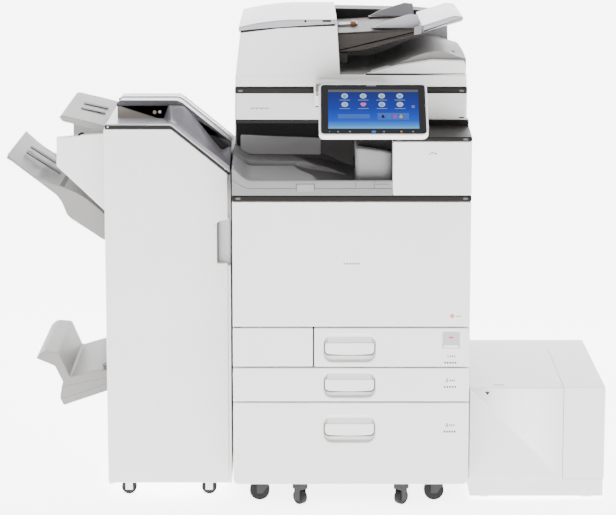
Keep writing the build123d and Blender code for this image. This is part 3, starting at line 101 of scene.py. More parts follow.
sweep_y, sweep_z = sweep_profile(9.0, 6.0, 2.5, 16)
sweep_half = 12.0
sweep_verts = np.concatenate(
    [
        np.stack([np.full_like(sweep_y, side * sweep_half), sweep_y + 1.6, sweep_z], axis=1)
        for side in (-1, 1)
    ]
)
count = len(sweep_y)
sweep_faces = [(i, i + count, i + count + 1, i + 1) for i in range(count - 1)]
sweep = plain_mesh("studio_sweep", sweep_verts, sweep_faces)
sweep_paint = bpy.data.materials.new("studio_white")
sweep_paint.use_nodes = True
sweep_shader = sweep_paint.node_tree.nodes["Principled BSDF"]
sweep_shader.inputs["Base Color"].default_value = (0.9, 0.9, 0.9, 1)
sweep_shader.inputs["Roughness"].default_value = 0.8
sweep_shader.inputs["Emission Color"].default_value = (1, 1, 1, 1)
sweep_shader.inputs["Emission Strength"].default_value = 5.0
sweep.data.materials.append(sweep_paint)

world = bpy.data.worlds.new("studio_world")
world.use_nodes = True
world.node_tree.nodes["Background"].inputs["Color"].default_value = (1, 1, 1, 1)
world.node_tree.nodes["Background"].inputs["Strength"].default_value = 0.55
bpy.context.scene.world = world
softboxes = {
    "front_softbox": ((-2.4, -4.2, 3.4), (62, 0, -28), 3.4, 120),
    "right_softbox": ((3.6, -2.6, 2.6), (66, 0, 54), 2.6, 26),
    "top_softbox": ((0.0, -0.4, 4.2), (4, 0, 0), 3.2, 60),
}
for name, (place, turn, size, power) in softboxes.items():
    light_data = bpy.data.lights.new(name, "AREA")
    light_data.size = size
    light_data.energy = power
    light = bpy.data.objects.new(name, light_data)
    light.location = place
    light.rotation_euler = [math.radians(angle) for angle in turn]
    bpy.context.scene.collection.objects.link(light)


# ---------------------------------------------------------------- front door
# An injection-moulded ABS shell in warm white with a fine spark-eroded grain, ribbed inside and
# hung on two pins at its left edge.  The mark on it is a plain printed bar.
def outline(points, radii, steps=5):
    """A closed outline with round corners.

    At each corner the arc touches both sides at radius / tan(half the corner's angle) from it,
    and its centre lies on the bisector.  A guard point half a millimetre beyond each end of the
    arc keeps the flat sides flat under smooth shading.
    """
    points = np.asarray(points, float)
    radii = np.broadcast_to(radii, len(points))
    before = np.roll(points, 1, axis=0) - points
    after = np.roll(points, -1, axis=0) - points
    before /= np.linalg.norm(before, axis=1)[:, None]
    after /= np.linalg.norm(after, axis=1)[:, None]
    half = np.arccos(np.clip((before * after).sum(axis=1), -1, 1)) / 2
    reach = radii / np.tan(half)
    middle = before + after
    middle /= np.linalg.norm(middle, axis=1)[:, None]
    centre = points + middle * (radii / np.sin(half))[:, None]
    start = points + before * reach[:, None]
    end = points + after * reach[:, None]
    share = np.linspace(0, 1, steps + 1)[None, :, None]
    sweep_angle = np.pi - 2 * half
    spoke_a = (start - centre)[:, None, :]
    spoke_b = (end - centre)[:, None, :]
    wide = np.maximum(np.sin(sweep_angle), 1e-6)[:, None, None]
    turn = sweep_angle[:, None, None]
    arc = centre[:, None, :] + (
        spoke_a * np.sin((1 - share) * turn) + spoke_b * np.sin(share * turn)
    ) / wide
    side = np.linalg.norm(np.roll(points, -1, axis=0) - points, axis=1)
    straight = side - reach - np.roll(reach, -1)
    guard = np.clip(straight / 3, 0.01, 0.5)
    guard_a = (start + before * np.roll(guard, 1)[:, None])[:, None, :]
    guard_b = (end + after * guard[:, None])[:, None, :]
    return np.concatenate([guard_a, arc, guard_b], axis=1).reshape(-1, 2)


def rectangle(x0, x1, z0, z1, radii, steps=5):
    """A rectangle with round corners, from its lower left corner anticlockwise."""
    return outline([(x0, z0), (x1, z0), (x1, z1), (x0, z1)], radii, steps)


def shrink(ring, amount):
    """The ring moved inwards by an amount along the mean normal of its two sides."""
    ahead = np.roll(ring, -1, axis=0) - ring
    behind = ring - np.roll(ring, 1, axis=0)
    ahead /= np.maximum(np.linalg.norm(ahead, axis=1), 1e-9)[:, None]
    behind /= np.maximum(np.linalg.norm(behind, axis=1), 1e-9)[:, None]
    normal_a = np.stack([-ahead[:, 1], ahead[:, 0]], axis=1)
    normal_b = np.stack([-behind[:, 1], behind[:, 0]], axis=1)
    normal = normal_a + normal_b
    normal /= np.maximum((normal * normal).sum(axis=1), 1e-9)[:, None] / 2
    area = (ring[:, 0] * np.roll(ring[:, 1], -1) - np.roll(ring[:, 0], -1) * ring[:, 1]).sum()
    return ring + normal * amount * (1 if area > 0 else -1)


def edge_arc(edge, depth, sense, steps=3):
    """Inset and depth round one edge: a quarter circle with a guard step at each end.

    sense 1 starts on the face and rolls over on to the side; -1 comes back in to the far face.
    """
    turn = np.linspace(0, np.pi / 2, steps + 1)
    guard = min(0.5, edge / 4)
    inset = np.concatenate([[edge + guard], edge * (1 - np.sin(turn)), [0]])
    level = np.concatenate([[0], edge * (1 - np.cos(turn)), [edge + guard]])
    pairs = np.stack([inset, depth + sense * level], axis=1)
    return pairs if sense > 0 else pairs[::-1]


AXES = {"x": (1, 2, 0), "y": (0, 2, 1), "z": (0, 1, 2)}


def loft(rings, levels, axis="y"):
    """Rings of equal count set at levels along an axis, skinned and closed by flat ends."""
    rings = np.asarray(rings)
    many, round_count = rings.shape[:2]
    a, b, c = AXES[axis]
    verts = np.zeros((many, round_count, 3))
    verts[:, :, a] = rings[:, :, 0]
    verts[:, :, b] = rings[:, :, 1]
    verts[:, :, c] = np.asarray(levels)[:, None]
    grid = np.arange(many * round_count).reshape(many, round_count)
    near, far = grid[:-1], grid[1:]
    sides = np.stack([near, np.roll(near, -1, 1), np.roll(far, -1, 1), far], axis=-1).reshape(-1, 4)
    faces = sides.tolist() + [grid[0][::-1].tolist(), grid[-1].tolist()]
    return verts.reshape(-1, 3), faces


def block(ring, start, end, edge=1.0, axis="y", steps=3):
    """An outline pulled from start to end, with both end edges rounded."""
    pairs = np.concatenate([edge_arc(edge, start, 1, steps), edge_arc(edge, end, -1, steps)])
    return loft([shrink(ring, inset) for inset, _ in pairs], pairs[:, 1], axis)


def pan(ring, start, end, wall, edge=2.0, axis="y"):
    """A moulded cover: rounded face at start, walls back to end, open behind."""
    sense = 1 if end > start else -1
    pairs = edge_arc(edge, start, sense)
    lip = [(0, end - sense * 0.5), (0.3, end), (wall - 0.3, end), (wall, end - sense * 0.5)]
    inner = [(wall, start + sense * (wall + 1)), (wall + 0.6, start + sense * wall)]
    pairs = np.concatenate([pairs, lip, inner, [(wall + 1.2, start + sense * wall)]])
    return loft([shrink(ring, inset) for inset, _ in pairs], pairs[:, 1], axis)


def cuboid(x0, x1, y0, y1, z0, z1, edge=0.6):
    """A small block with softened edges."""
    return block(rectangle(x0, x1, z0, z1, edge * 1.3, 2), y0, y1, edge, "y", 2)


def finished(name, shapes, paint, body, replaced=None):
    """Joins shapes into one piece in metres, paints it and lets it ride on its body."""
    verts, faces, offset = [], [], 0
    for shape_verts, shape_faces in shapes:
        verts.append(np.asarray(shape_verts) / 1000)
        faces += [[index + offset for index in face] for face in shape_faces]
        offset += len(shape_verts)
    item = plain_mesh(name, np.concatenate(verts), faces)
    shell = bmesh.new()
    shell.from_mesh(item.data)
    bmesh.ops.recalc_face_normals(shell, faces=shell.faces)
    shell.to_mesh(item.data)
    shell.free()
    item.data.shade_smooth()
    item.data.set_sharp_from_angle(angle=math.radians(50))
    item.data.materials.append(paint)
    if replaced:
        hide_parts(*([replaced] if isinstance(replaced, str) else replaced))
    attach(item, body)
    return item


def socket(group, name, kind, way, value=None):
    """One named socket on a node group."""
    made = group.interface.new_socket(name=name, in_out=way, socket_type=kind)
    if value is not None:
        made.default_value = value
    return made


def mould_grain_group():
    """Spark-eroded mould texture: fine cellular grain and a slow mottle."""
    group = bpy.data.node_groups.new("mould_grain", "ShaderNodeTree")
    socket(group, "Vector", "NodeSocketVector", "INPUT")
    socket(group, "Grain per metre", "NodeSocketFloat", "INPUT", 900.0)
    socket(group, "Colour", "NodeSocketColor", "INPUT", (0.8, 0.8, 0.8, 1))
    socket(group, "Roughness", "NodeSocketFloat", "INPUT", 0.5)
    socket(group, "Colour", "NodeSocketColor", "OUTPUT")
    socket(group, "Roughness", "NodeSocketFloat", "OUTPUT")
    socket(group, "Height", "NodeSocketFloat", "OUTPUT")
    nodes, links = group.nodes, group.links
    given = nodes.new("NodeGroupInput")
    result = nodes.new("NodeGroupOutput")
    grain = nodes.new("ShaderNodeTexVoronoi")
    grain.inputs["Randomness"].default_value = 1.0
    fine = nodes.new("ShaderNodeTexNoise")
    fine.inputs["Detail"].default_value = 3.0
    slow = nodes.new("ShaderNodeTexNoise")
    slow.inputs["Scale"].default_value = 5.0
    slow.inputs["Detail"].default_value = 4.0
    links.new(given.outputs["Vector"], grain.inputs["Vector"])
    links.new(given.outputs["Vector"], fine.inputs["Vector"])
    links.new(given.outputs["Vector"], slow.inputs["Vector"])
    links.new(given.outputs["Grain per metre"], grain.inputs["Scale"])
    double = nodes.new("ShaderNodeMath")
    double.operation = "MULTIPLY"
    double.inputs[1].default_value = 2.3
    links.new(given.outputs["Grain per metre"], double.inputs[0])
    links.new(double.outputs[0], fine.inputs["Scale"])
    height = nodes.new("ShaderNodeMath")
    height.operation = "ADD"
    links.new(grain.outputs["Distance"], height.inputs[0])
    links.new(fine.outputs["Fac"], height.inputs[1])
    links.new(height.outputs[0], result.inputs["Height"])
    tone = nodes.new("ShaderNodeMapRange")
    tone.inputs["From Min"].default_value = 0.3
    tone.inputs["From Max"].default_value = 0.7
    tone.inputs["To Min"].default_value = 0.955
    tone.inputs["To Max"].default_value = 1.0
    links.new(slow.outputs["Fac"], tone.inputs["Value"])
    shade = nodes.new("ShaderNodeVectorMath")
    shade.operation = "SCALE"
    links.new(given.outputs["Colour"], shade.inputs[0])
    links.new(tone.outputs["Result"], shade.inputs["Scale"])
    links.new(shade.outputs["Vector"], result.inputs["Colour"])
    dull = nodes.new("ShaderNodeMath")
    dull.operation = "MULTIPLY_ADD"
    dull.inputs[1].default_value = 0.16
    links.new(slow.outputs["Fac"], dull.inputs[0])
    lower = nodes.new("ShaderNodeMath")
    lower.operation = "SUBTRACT"
    lower.inputs[1].default_value = 0.08
    links.new(given.outputs["Roughness"], lower.inputs[0])
    links.new(lower.outputs[0], dull.inputs[2])
    links.new(dull.outputs[0], result.inputs["Roughness"])
    return group


mould_grain = mould_grain_group()


def moulded(name, colour, roughness=0.45, grain=900.0, relief=0.12, coat=0.0, metallic=0.0):
    """A moulded or painted finish whose colour, gloss and grain come from the mould group."""
    paint = bpy.data.materials.new(name)
    paint.use_nodes = True
    nodes, links = paint.node_tree.nodes, paint.node_tree.links
    shader = nodes["Principled BSDF"]
    place = nodes.new("ShaderNodeTexCoord")
    skin = nodes.new("ShaderNodeGroup")
    skin.node_tree = mould_grain
    skin.inputs["Grain per metre"].default_value = grain
    skin.inputs["Colour"].default_value = (*colour, 1)
    skin.inputs["Roughness"].default_value = roughness
    relief_node = nodes.new("ShaderNodeBump")
    relief_node.inputs["Strength"].default_value = relief
    relief_node.inputs["Distance"].default_value = 0.0004
    links.new(place.outputs["Object"], skin.inputs["Vector"])
    links.new(skin.outputs["Colour"], shader.inputs["Base Color"])
    links.new(skin.outputs["Roughness"], shader.inputs["Roughness"])
    links.new(skin.outputs["Height"], relief_node.inputs["Height"])
    links.new(relief_node.outputs["Normal"], shader.inputs["Normal"])
    shader.inputs["Coat Weight"].default_value = coat
    shader.inputs["Specular IOR Level"].default_value = 0.5 if max(colour) > 0.3 else 0.15
    shader.inputs["Metallic"].default_value = metallic
    return paint


warm_white = moulded("warm_white_plastic", (0.74, 0.735, 0.725), 0.42)
print_grey = moulded("printed_grey_ink", (0.05, 0.05, 0.055), 0.5)
print_red = moulded("printed_red_ink", (0.60, 0.20, 0.14), 0.5)


def pill(x0, x1, z0, z1, y, thick=0.3):
    """A thin printed or applied mark with round ends on a front face."""
    radius = min(x1 - x0, z1 - z0) / 2 - 0.05
    return block(rectangle(x0, x1, z0, z1, radius, 4), y - thick, y + 0.2, 0.12, "y", 2)


x0, y0, z0 = door_low
x1, y1, z1 = door_high
door_ring = rectangle(x0 + 0.4, x1 - 0.4, z0 + 0.2, z1 - 0.2, [3, 4, 4, 3])
ribs = [
    cuboid(x, x + 2, y0 + 2.5, y1 - 5, z0 + 8, z1 - 8)
    for x in np.linspace(x0 + 90, x1 - 90, 5)
]
ribs += [
    cuboid(x0 + 8, x1 - 8, y0 + 2.5, y1 - 7, z, z + 2)
    for z in np.linspace(z0 + 60, z1 - 60, 3)
]
finished(
    "front_door_shell",
    [pan(door_ring, y0, y1, 3.0, 2.4), *ribs],
    warm_white,
    "front_door",
    "front_door",
)
mark_x, mark_z = main_mid, z0 + 157
marks = [pill(mark_x - 20 + 7 * i, mark_x - 15 + 7 * i, mark_z, mark_z + 3.2, y0) for i in range(6)]
finished("front_door_mark", marks, print_grey, "front_door")
red_x, red_z = x1 - 50, z0 + 22
finished(
    "front_door_indicator",
    [
        pill(red_x, red_x + 11, red_z, red_z + 11, y0),
        pill(red_x + 15, red_x + 27, red_z + 3, red_z + 6, y0),
    ],
    print_red,
    "front_door",
)
# ---------------------------------------------------------------- drawer fronts
# Three moulded fronts, each with a shallow dish and a pull bar over a plate of painted shade.
# Tray 1 has a paper size window; tray numbers and size marks are printed at the right.
# Mid grey for the painted shade in the finger well behind each pull bar.
well_shade = moulded("finger_well_shade", (0.16, 0.155, 0.15), 0.6)
window_grey = moulded("size_window_grey", (0.34, 0.335, 0.34), 0.2, coat=0.5)
card_white = moulded("size_card_white", (0.70, 0.70, 0.70), 0.4)
mark_pink = moulded("printed_pink_ink", (0.72, 0.30, 0.34), 0.5)


def dished(ring, hole, face, back, depth, edge=2.0, lip=4.0, bowl=5.0, axis="y"):
    """A slab with a dish sunk in its face: side, rounded edge, face, lip, wall, bowl, floor."""
    sense = 1 if back > face else -1
    side = np.concatenate(
        [
            [(0.6, back), (0, back - sense * 0.6)],
            (edge_arc(edge, 0, 1) * (1, sense) + (0, face))[::-1],
        ]
    )
    mouth = edge_arc(lip, 0, 1) * (-1, sense) + (0, face)
    turn = np.linspace(0, np.pi / 2, 5)
    floor = face + sense * depth
    sink = np.stack([bowl * (1 - np.cos(turn)), floor - sense * bowl * (1 - np.sin(turn))], axis=1)
    inner = np.concatenate([mouth, sink, [(bowl + 0.5, floor)]])
    rings = [shrink(ring, inset) for inset, _ in side] + [shrink(hole, inset) for inset, _ in inner]
    return loft(rings, np.concatenate([side[:, 1], inner[:, 1]]), axis)


def finer(ring, pitch):
    """The same closed outline with points at least every pitch along it."""
    closed = np.vstack([ring, ring[:1]])
    along = np.concatenate([[0], np.cumsum(np.linalg.norm(np.diff(closed, axis=0), axis=1))])
    places = np.union1d(along, np.arange(0, along[-1], pitch))[:-1]
    places = places[np.concatenate([[True], np.diff(places) > 0.05])]
    return np.stack([np.interp(places, along, closed[:, k]) for k in (0, 1)], axis=1)


def digit(number, x, z, height, y):
    """A printed figure made of straight strokes, like a seven-bar numeral."""
    width, stroke = height * 0.55, height * 0.17
    bars = {
        "a": (0, width, height - stroke, height),
        "b": (width - stroke, width, height / 2, height),
        "c": (width - stroke, width, 0, height / 2),
        "d": (0, width, 0, stroke),
        "e": (0, stroke, 0, height / 2),
        "g": (0, width, height / 2 - stroke / 2, height / 2 + stroke / 2),
    }
    shown = {1: "bc", 2: "abged", 3: "abgcd"}[number]
    return [pill(x + bars[k][0], x + bars[k][1], z + bars[k][2], z + bars[k][3], y) for k in shown]


pocket_half, pocket_shift = 65.0, -4.0
bar_half_height = 13.5
fronts = {1: (47.0, 73.5, -68.0), 2: (42.5, 69.0, -36.0), 3: (142.0, 72.0, -62.0)}
for number, (pocket_rise, pocket_high, mark_drop) in fronts.items():
    (x0, y0, z0), (x1, y1, z1) = corners(f"tray_{number}_front")
    lower = 13.0 if number == 3 else 3.0
    ring = rectangle(x0 + 0.3, x1 - 0.3, z0, z1, [lower, lower, 3, 3])
    centre_x, centre_z = main_mid + pocket_shift, z0 + pocket_rise
    hole = rectangle(
        centre_x - pocket_half + 1,
        centre_x + pocket_half - 1,
        centre_z - pocket_high / 2 + 3,
        centre_z + pocket_high / 2 - 3,
        21,
    )
    finished(
        f"tray_{number}_moulding",
        [dished(ring, hole, y0, y1, 11.0)],
        warm_white,
        f"drawer_{number}",
        f"tray_{number}_front",
    )
    bar = finer(
        rectangle(
            centre_x - pocket_half + 4,
            centre_x + pocket_half - 4,
            centre_z - bar_half_height,
            centre_z + bar_half_height,
            [9, 9, 3, 3],
        ),
        6,
    )
    below = bar[:, 1] < centre_z - 4
    bar[below, 1] -= 3.5 * (1 - ((bar[below, 0] - centre_x) / pocket_half) ** 2)
    ramp = outline(
        [
            (y0 + 2.2, centre_z + bar_half_height - 3),
            (y0 + 2.2, centre_z + bar_half_height - 1),
            (y0 + 10.6, centre_z + 26),
            (y0 + 10.9, centre_z + 2),
        ],
        0.4,
    )
    pull = [
        block(bar, y0 + 1.0, y0 + 5.0, 1.4),
        block(ramp, centre_x - pocket_half + 10, centre_x + pocket_half - 10, 1.0, "x"),
    ]
    finished(f"tray_{number}_pull_bar", pull, warm_white, f"drawer_{number}")
    # A grey plate behind the pull bar: painted shade in the finger well, seen as a dark U round the
    # bar.
    well = rectangle(
        centre_x - pocket_half + 1.2,
        centre_x + pocket_half - 1.2,
        centre_z - bar_half_height - 7.5,
        centre_z + bar_half_height - 3,
        [13, 13, 4, 4],
    )
    finished(
        f"tray_{number}_finger_well",
        [block(well, y0 + 8.5, y0 + 11.4, 0.5)],
        well_shade,
        f"drawer_{number}",
    )
    figure_z = z1 + mark_drop - (8 if number == 1 else 0)
    figure_x = x1 - 58
    figures = digit(number, figure_x, figure_z, 9, y0)
    figures += [
        pill(figure_x + 9 + 5 * i, figure_x + 12 + 5 * i, figure_z + 2, figure_z + 6.5, y0)
        for i in range(3)
    ]
    figures += [
        pill(figure_x - 5 + 6.5 * i, figure_x - 1 + 6.5 * i, figure_z - 15, figure_z - 9.5, y0)
        for i in range(5)
    ]
    finished(f"tray_{number}_printing", figures, print_grey, f"drawer_{number}")

(x0, y0, z0), (x1, y1, z1) = corners("tray_1_front")
window_x, window_z = x1 - 68, z1 - 52
window = block(
    rectangle(window_x, window_x + 43, window_z, window_z + 42, 2),
    y0 - 0.5,
    y0 + 0.2,
    0.3,
)
finished("tray_1_size_window", [window], window_grey, "drawer_1")
card = [pill(window_x + 3, window_x + 40, window_z + 1.5, window_z + 9, y0 - 0.5)]
finished("tray_1_size_card", card, card_white, "drawer_1")
card_mark = [
    pill(window_x + 16, window_x + 27, window_z + 24, window_z + 34, y0 - 0.5),
    pill(window_x + 12, window_x + 31, window_z + 27, window_z + 29.5, y0 - 0.5),
]
finished("tray_1_card_mark", card_mark, mark_pink, "drawer_1")

# ---------------------------------------------------------------- toner waste cover
# A small cover left of tray 1, moulded like the door and hinged along its lower edge.
(x0, y0, z0), (x1, y1, z1) = corners("waste_toner_cover")
waste_ring = rectangle(x0 + 0.4, x1 - 0.2, z0, z1, 3)
finished(
    "waste_cover_shell",
    [pan(waste_ring, y0, y1, 3.0), cuboid(x0 + 60, x0 + 62, y0 + 2.5, y1 - 3, z0 + 6, z1 - 6)],
    warm_white,
    "waste_toner_cover",
    "waste_toner_cover",
)

# ---------------------------------------------------------------- drawer boxes
# Grey moulded drawers with a steel lift plate and two white side guides in each.
drawer_grey = moulded("drawer_grey_plastic", (0.20, 0.20, 0.205), 0.5)
lift_steel = moulded("lift_plate_steel", (0.55, 0.55, 0.54), 0.35, 300.0, 0.05, metallic=0.9)


def repaint(node, paint):
    """Gives a CAD node a better material in each of its slots."""
    for material_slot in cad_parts[node].material_slots:
        material_slot.material = paint


for number in fronts:
    repaint(f"tray_{number}_box", drawer_grey)
    (x0, y0, z0), (x1, y1, z1) = corners(f"tray_{number}_box")
    plate = cuboid(x0 + 30, x1 - 30, y0 + 40, y1 - 60, z0 + 4, z0 + 6)
    finished(
        f"tray_{number}_lift_plate",
        [plate],
        lift_steel,
        f"drawer_{number}",
    )
    height = min(z1 - z0 - 14, 70)
    guides = [
        cuboid(x0 + 60, x1 - 60, y, y + 4, z0 + 6, z0 + 6 + height, 1.5) for y in (y0 + 90, y1 - 70)
    ]
    guides += [
        cuboid(main_mid - 22, main_mid + 22, y - 14, y, z0 + 6, z0 + 14, 1.5)
        for y in (y0 + 90, y1 - 56)
    ]
    finished(f"tray_{number}_side_guides", guides, warm_white, f"drawer_{number}")

# ---------------------------------------------------------------- dark trim
# Brown-black glossy mouldings: the strip over the door, the cap on the upper right cover, and
# the band round the scanner, which frames the glasses.  Small paler marks at their ends are
# painted highlights on the rounded ends.
trim_brown = moulded("brown_black_trim", (0.009, 0.007, 0.006), 0.45, 1400.0, 0.06)
# Pale grey for the painted highlights at the trim ends.
trim_end_highlight_paint = moulded("trim_end_painted_highlight", (0.11, 0.10, 0.095), 0.35)
trim_low, trim_high = corners("front_trim")
cover_low, cover_high = corners("upper_right_cover")
glass_low, glass_high = corners("platen_glass")
strip_top = cover_low[2]
frame_plane = cover_low[1] + 27.7
strip_bottom = strip_top - 14.5
main_left, main_right = trim_low[0], trim_high[0]
strip = block(
    rectangle(main_left, main_right, strip_bottom, strip_top, 3.2),
    front,
    frame_plane,
    2.5,
)
cap_x0 = cover_low[0]
scanner_front = glass_low[1] - 40
exit_top = cover_high[2]
cap_rear = trim_high[1]
cap_outline = outline(
    [
        (front + 0.2, exit_top),
        (front + 0.2, exit_top + 10),
        (scanner_front - 2, exit_top + 20),
        (scanner_front - 2, exit_top + 33.4),
        (cap_rear - 2, exit_top + 33.4),
        (cap_rear - 2, exit_top + 0.2),
    ],
    [1.6, 3, 2, 1.6, 2, 1.6],
)
cap = block(cap_outline, cap_x0, main_right, 1.2, "x")
band_x0, band_x1 = main_left + 4.5, main_right - 4.5
band_rear = scanner_front + 525
band_low, band_high = glass_high[2] - 15, glass_high[2]
band_ring = rectangle(band_x0, band_x1, scanner_front, band_rear, 5)
band_hole = rectangle(glass_low[0] - 1, glass_high[0] + 1, glass_low[1] - 1, glass_high[1] + 1, 1.5)
band_pairs = np.concatenate(
    [[(0.6, band_low), (0, band_low + 0.6)], (edge_arc(1.5, 0, 1) * (1, -1) + (0, band_high))[::-1]]
)
band_rings = [
    shrink(band_hole, -4),
    *[shrink(band_ring, inset) for inset, _ in band_pairs],
    shrink(band_hole, -1),
    band_hole,
    shrink(band_hole, -4),
]
band_levels = [band_low, *band_pairs[:, 1], band_high, band_high - 1, band_low]
band_verts, band_faces = loft(band_rings, band_levels, "z")
band = (band_verts, band_faces[:-2])
gap_x0 = glass_low[0] + 24.5
divider_bar = cuboid(
    gap_x0,
    gap_x0 + 13,
    glass_low[1] - 2,
    glass_high[1] + 2,
    band_high - 7,
    band_high,
    0.8,
)
finished("trim_mouldings", [strip, cap], trim_brown, "main_body", "front_trim")
finished("scanner_band", [band, divider_bar], trim_brown, "main_body")
# Painted highlights: small pale marks where the rounded ends of the glossy trims catch the light.
end_highlights = []
for x, z, y in (
    (main_left + 9, strip_top - 10, front),
    (main_right - 21, strip_top - 10, front),
    (main_right - 22, exit_top + 2, front + 0.2),
    (cap_x0 + 8, exit_top + 2, front + 0.2),
    (band_x0 + 8, band_low + 4, scanner_front),
    (band_x1 - 20, band_low + 4, scanner_front),
):
    end_highlights.append(pill(x, x + 12, z, z + 5, y, 0.5))
finished("trim_end_painted_highlights", end_highlights, trim_end_highlight_paint, "main_body")

# ---------------------------------------------------------------- upper right cover
# A white shell at the right of the exit bay, with a faint contactless-reader mark on its face.
(x0, y0, z0), (x1, y1, z1) = cover_low, cover_high
return_wall = cuboid(x0 + 0.3, x0 + 3, y0 + 20, y1, z0, z1, 0.8)
cover_shell = pan(rectangle(x0, x1 - 0.2, z0 + 0.6, z1 - 0.6, 4), y0, y0 + 27.5, 3.0, 3.0)
finished(
    "upper_right_shell",
    [cover_shell, return_wall],
    warm_white,
    "main_body",
    "upper_right_cover",
)
mark_x, mark_z = x0 + 97, z1 - 31
reader = [
    pill(mark_x - 9, mark_x - 5, mark_z - 2, mark_z + 1, y0),
    pill(mark_x + 5, mark_x + 10, mark_z - 1, mark_z + 2, y0),
]
reader += [pill(mark_x - 4, mark_x + 4, mark_z + 1.5, mark_z + 3.6, y0)]
finished("contactless_mark", reader, print_grey, "main_body")

# ---------------------------------------------------------------- exit bay
# A grey moulded tray whose floor waves: two raised platforms carry the sheets, with painted
# shade darkening the channels between them, a level lip along the front and an ear that curves
# up at the left.
exit_grey = moulded("exit_tray_grey", (0.21, 0.205, 0.21), 0.5)
wall_grey = moulded("bay_wall_grey", (0.42, 0.41, 0.42), 0.55)
shade_grey = moulded("bay_shade_grey", (0.12, 0.115, 0.115), 0.6)
bay_black = moulded("bay_black_plastic", (0.016, 0.015, 0.015), 0.5)


def step_up(value, low, high):
    """A smooth rise from 0 at low to 1 at high: t squared times (3 - 2 t)."""
    t = np.clip((value - low) / (high - low), 0, 1)
    return t * t * (3 - 2 * t)


def relief(x, y, z, floor):
    """A closed solid under a height grid: the grid, a skirt down to the floor, and the floor."""
    rows, columns = z.shape
    top = np.stack(
        [np.broadcast_to(x, z.shape), np.broadcast_to(y, z.shape), z],
        axis=-1,
    ).reshape(-1, 3)
    index = np.arange(rows * columns).reshape(rows, columns)
    quads = np.stack(
        [index[:-1, :-1], index[:-1, 1:], index[1:, 1:], index[1:, :-1]],
        axis=-1,
    ).reshape(-1, 4)
    rim = np.concatenate([index[0, :-1], index[:-1, -1], index[-1, :0:-1], index[:0:-1, 0]])
    foot = top[rim].copy()
    foot[:, 2] = floor
    below = np.arange(len(rim)) + rows * columns
    skirt = np.stack([rim, np.roll(rim, -1), np.roll(below, -1), below], axis=-1)
    return np.concatenate([top, foot]), quads.tolist() + skirt.tolist() + [below.tolist()]


tray_low, tray_high = corners("exit_tray")
bay_left, bay_right, bay_back = tray_low[0], tray_high[0], tray_high[1]
x = np.concatenate([np.linspace(0, 60, 30), np.linspace(62, bay_right - bay_left, 130)]) + bay_left
y = np.concatenate([np.linspace(0, 24, 16), np.linspace(26, bay_back - front - 2.5, 110)])
x_grid, depth = np.meshgrid(x, y)
lip_z = strip_top + 37.0
ear = 31.0 * (1 - step_up(x_grid, bay_left - 12, bay_left + 50)) ** 1.3 / 0.83
floor_z = strip_top + 22 + 9 * depth / 310
front_end = main_mid - 84 - 0.5 * (depth - 50) + 7 * np.sin((depth - 50) / 16)
front_mask = (
    1 - step_up(x_grid, front_end - 12, front_end + 12)
) * step_up(depth, 38, 50) * (1 - step_up(depth, 140, 150))
front_run = strip_top + 34.5 + 0.2 * (depth - 50)
rear_end = main_mid - 132 + 0.35 * (290 - depth)
rear_mask = (
    1 - step_up(x_grid, rear_end - 25, rear_end + 25)
) * step_up(depth, 180, 192) * (1 - step_up(depth, 288, 298))
rear_run = strip_top + 57.0
leaf_along = np.clip((x_grid - (main_mid - 138)) / 130, 0, 1)
leaf_mid = 186 - 34 * leaf_along
leaf_half = 30 * np.sin(np.pi * leaf_along ** 0.8) + 0.01
leaf_mask = np.clip(
    1.15 - (np.abs(depth - leaf_mid) / leaf_half) ** 2,
    0,
    1,
) * (leaf_along > 0) * (leaf_along < 1)
leaf_run = strip_top + 49 - 20 * leaf_along
left_share = 1 - step_up(x_grid, main_mid - 90, main_mid + 20)
channel = floor_z + left_share * 20 * step_up(depth, 20, 190) - 2
back_share = 1 - step_up(x_grid, main_mid - 80, main_mid + 10)
back_rise = step_up(depth, 288, 305) * (strip_top + 30 + 30 * back_share - channel)
surface = channel + back_rise
for mask, run in ((leaf_mask * 0.9, leaf_run), (front_mask, front_run), (rear_mask, rear_run)):
    surface = surface + mask * (run - surface)
lip_mask = 1 - step_up(depth, 9, 26)
surface = surface + lip_mask * (lip_z - surface) + ear * (1 - 0.25 * step_up(depth, 60, 300))
round_off = 3.0 * (1 - np.sqrt(np.clip(1 - (1 - depth / 3.0).clip(0, 1) ** 2, 0, 1)))
surface = surface - round_off
deck = relief(x_grid, depth + front + 2.2, surface, strip_top)
# The deck's colour is mixed towards near black by a per-vertex value: painted shade in the low
# channels.
deck_paint = exit_grey.copy()
deck_paint.name = "exit_deck_grey"
deck_nodes, deck_links = deck_paint.node_tree.nodes, deck_paint.node_tree.links
hollow_shade_read = deck_nodes.new("ShaderNodeAttribute")
hollow_shade_read.attribute_name = "hollow_shade"
painted_shade_mix = deck_nodes.new("ShaderNodeMix")
painted_shade_mix.data_type = "RGBA"
painted_shade_mix.inputs["A"].default_value = (0.25, 0.245, 0.25, 1)
painted_shade_mix.inputs["B"].default_value = (0.085, 0.08, 0.082, 1)
deck_skin = next(node for node in deck_nodes if node.type == "GROUP")
deck_links.new(hollow_shade_read.outputs["Fac"], painted_shade_mix.inputs["Factor"])
deck_links.new(painted_shade_mix.outputs["Result"], deck_skin.inputs["Colour"])
deck_piece = finished("exit_tray_deck", [deck], deck_paint, "main_body", "exit_tray")
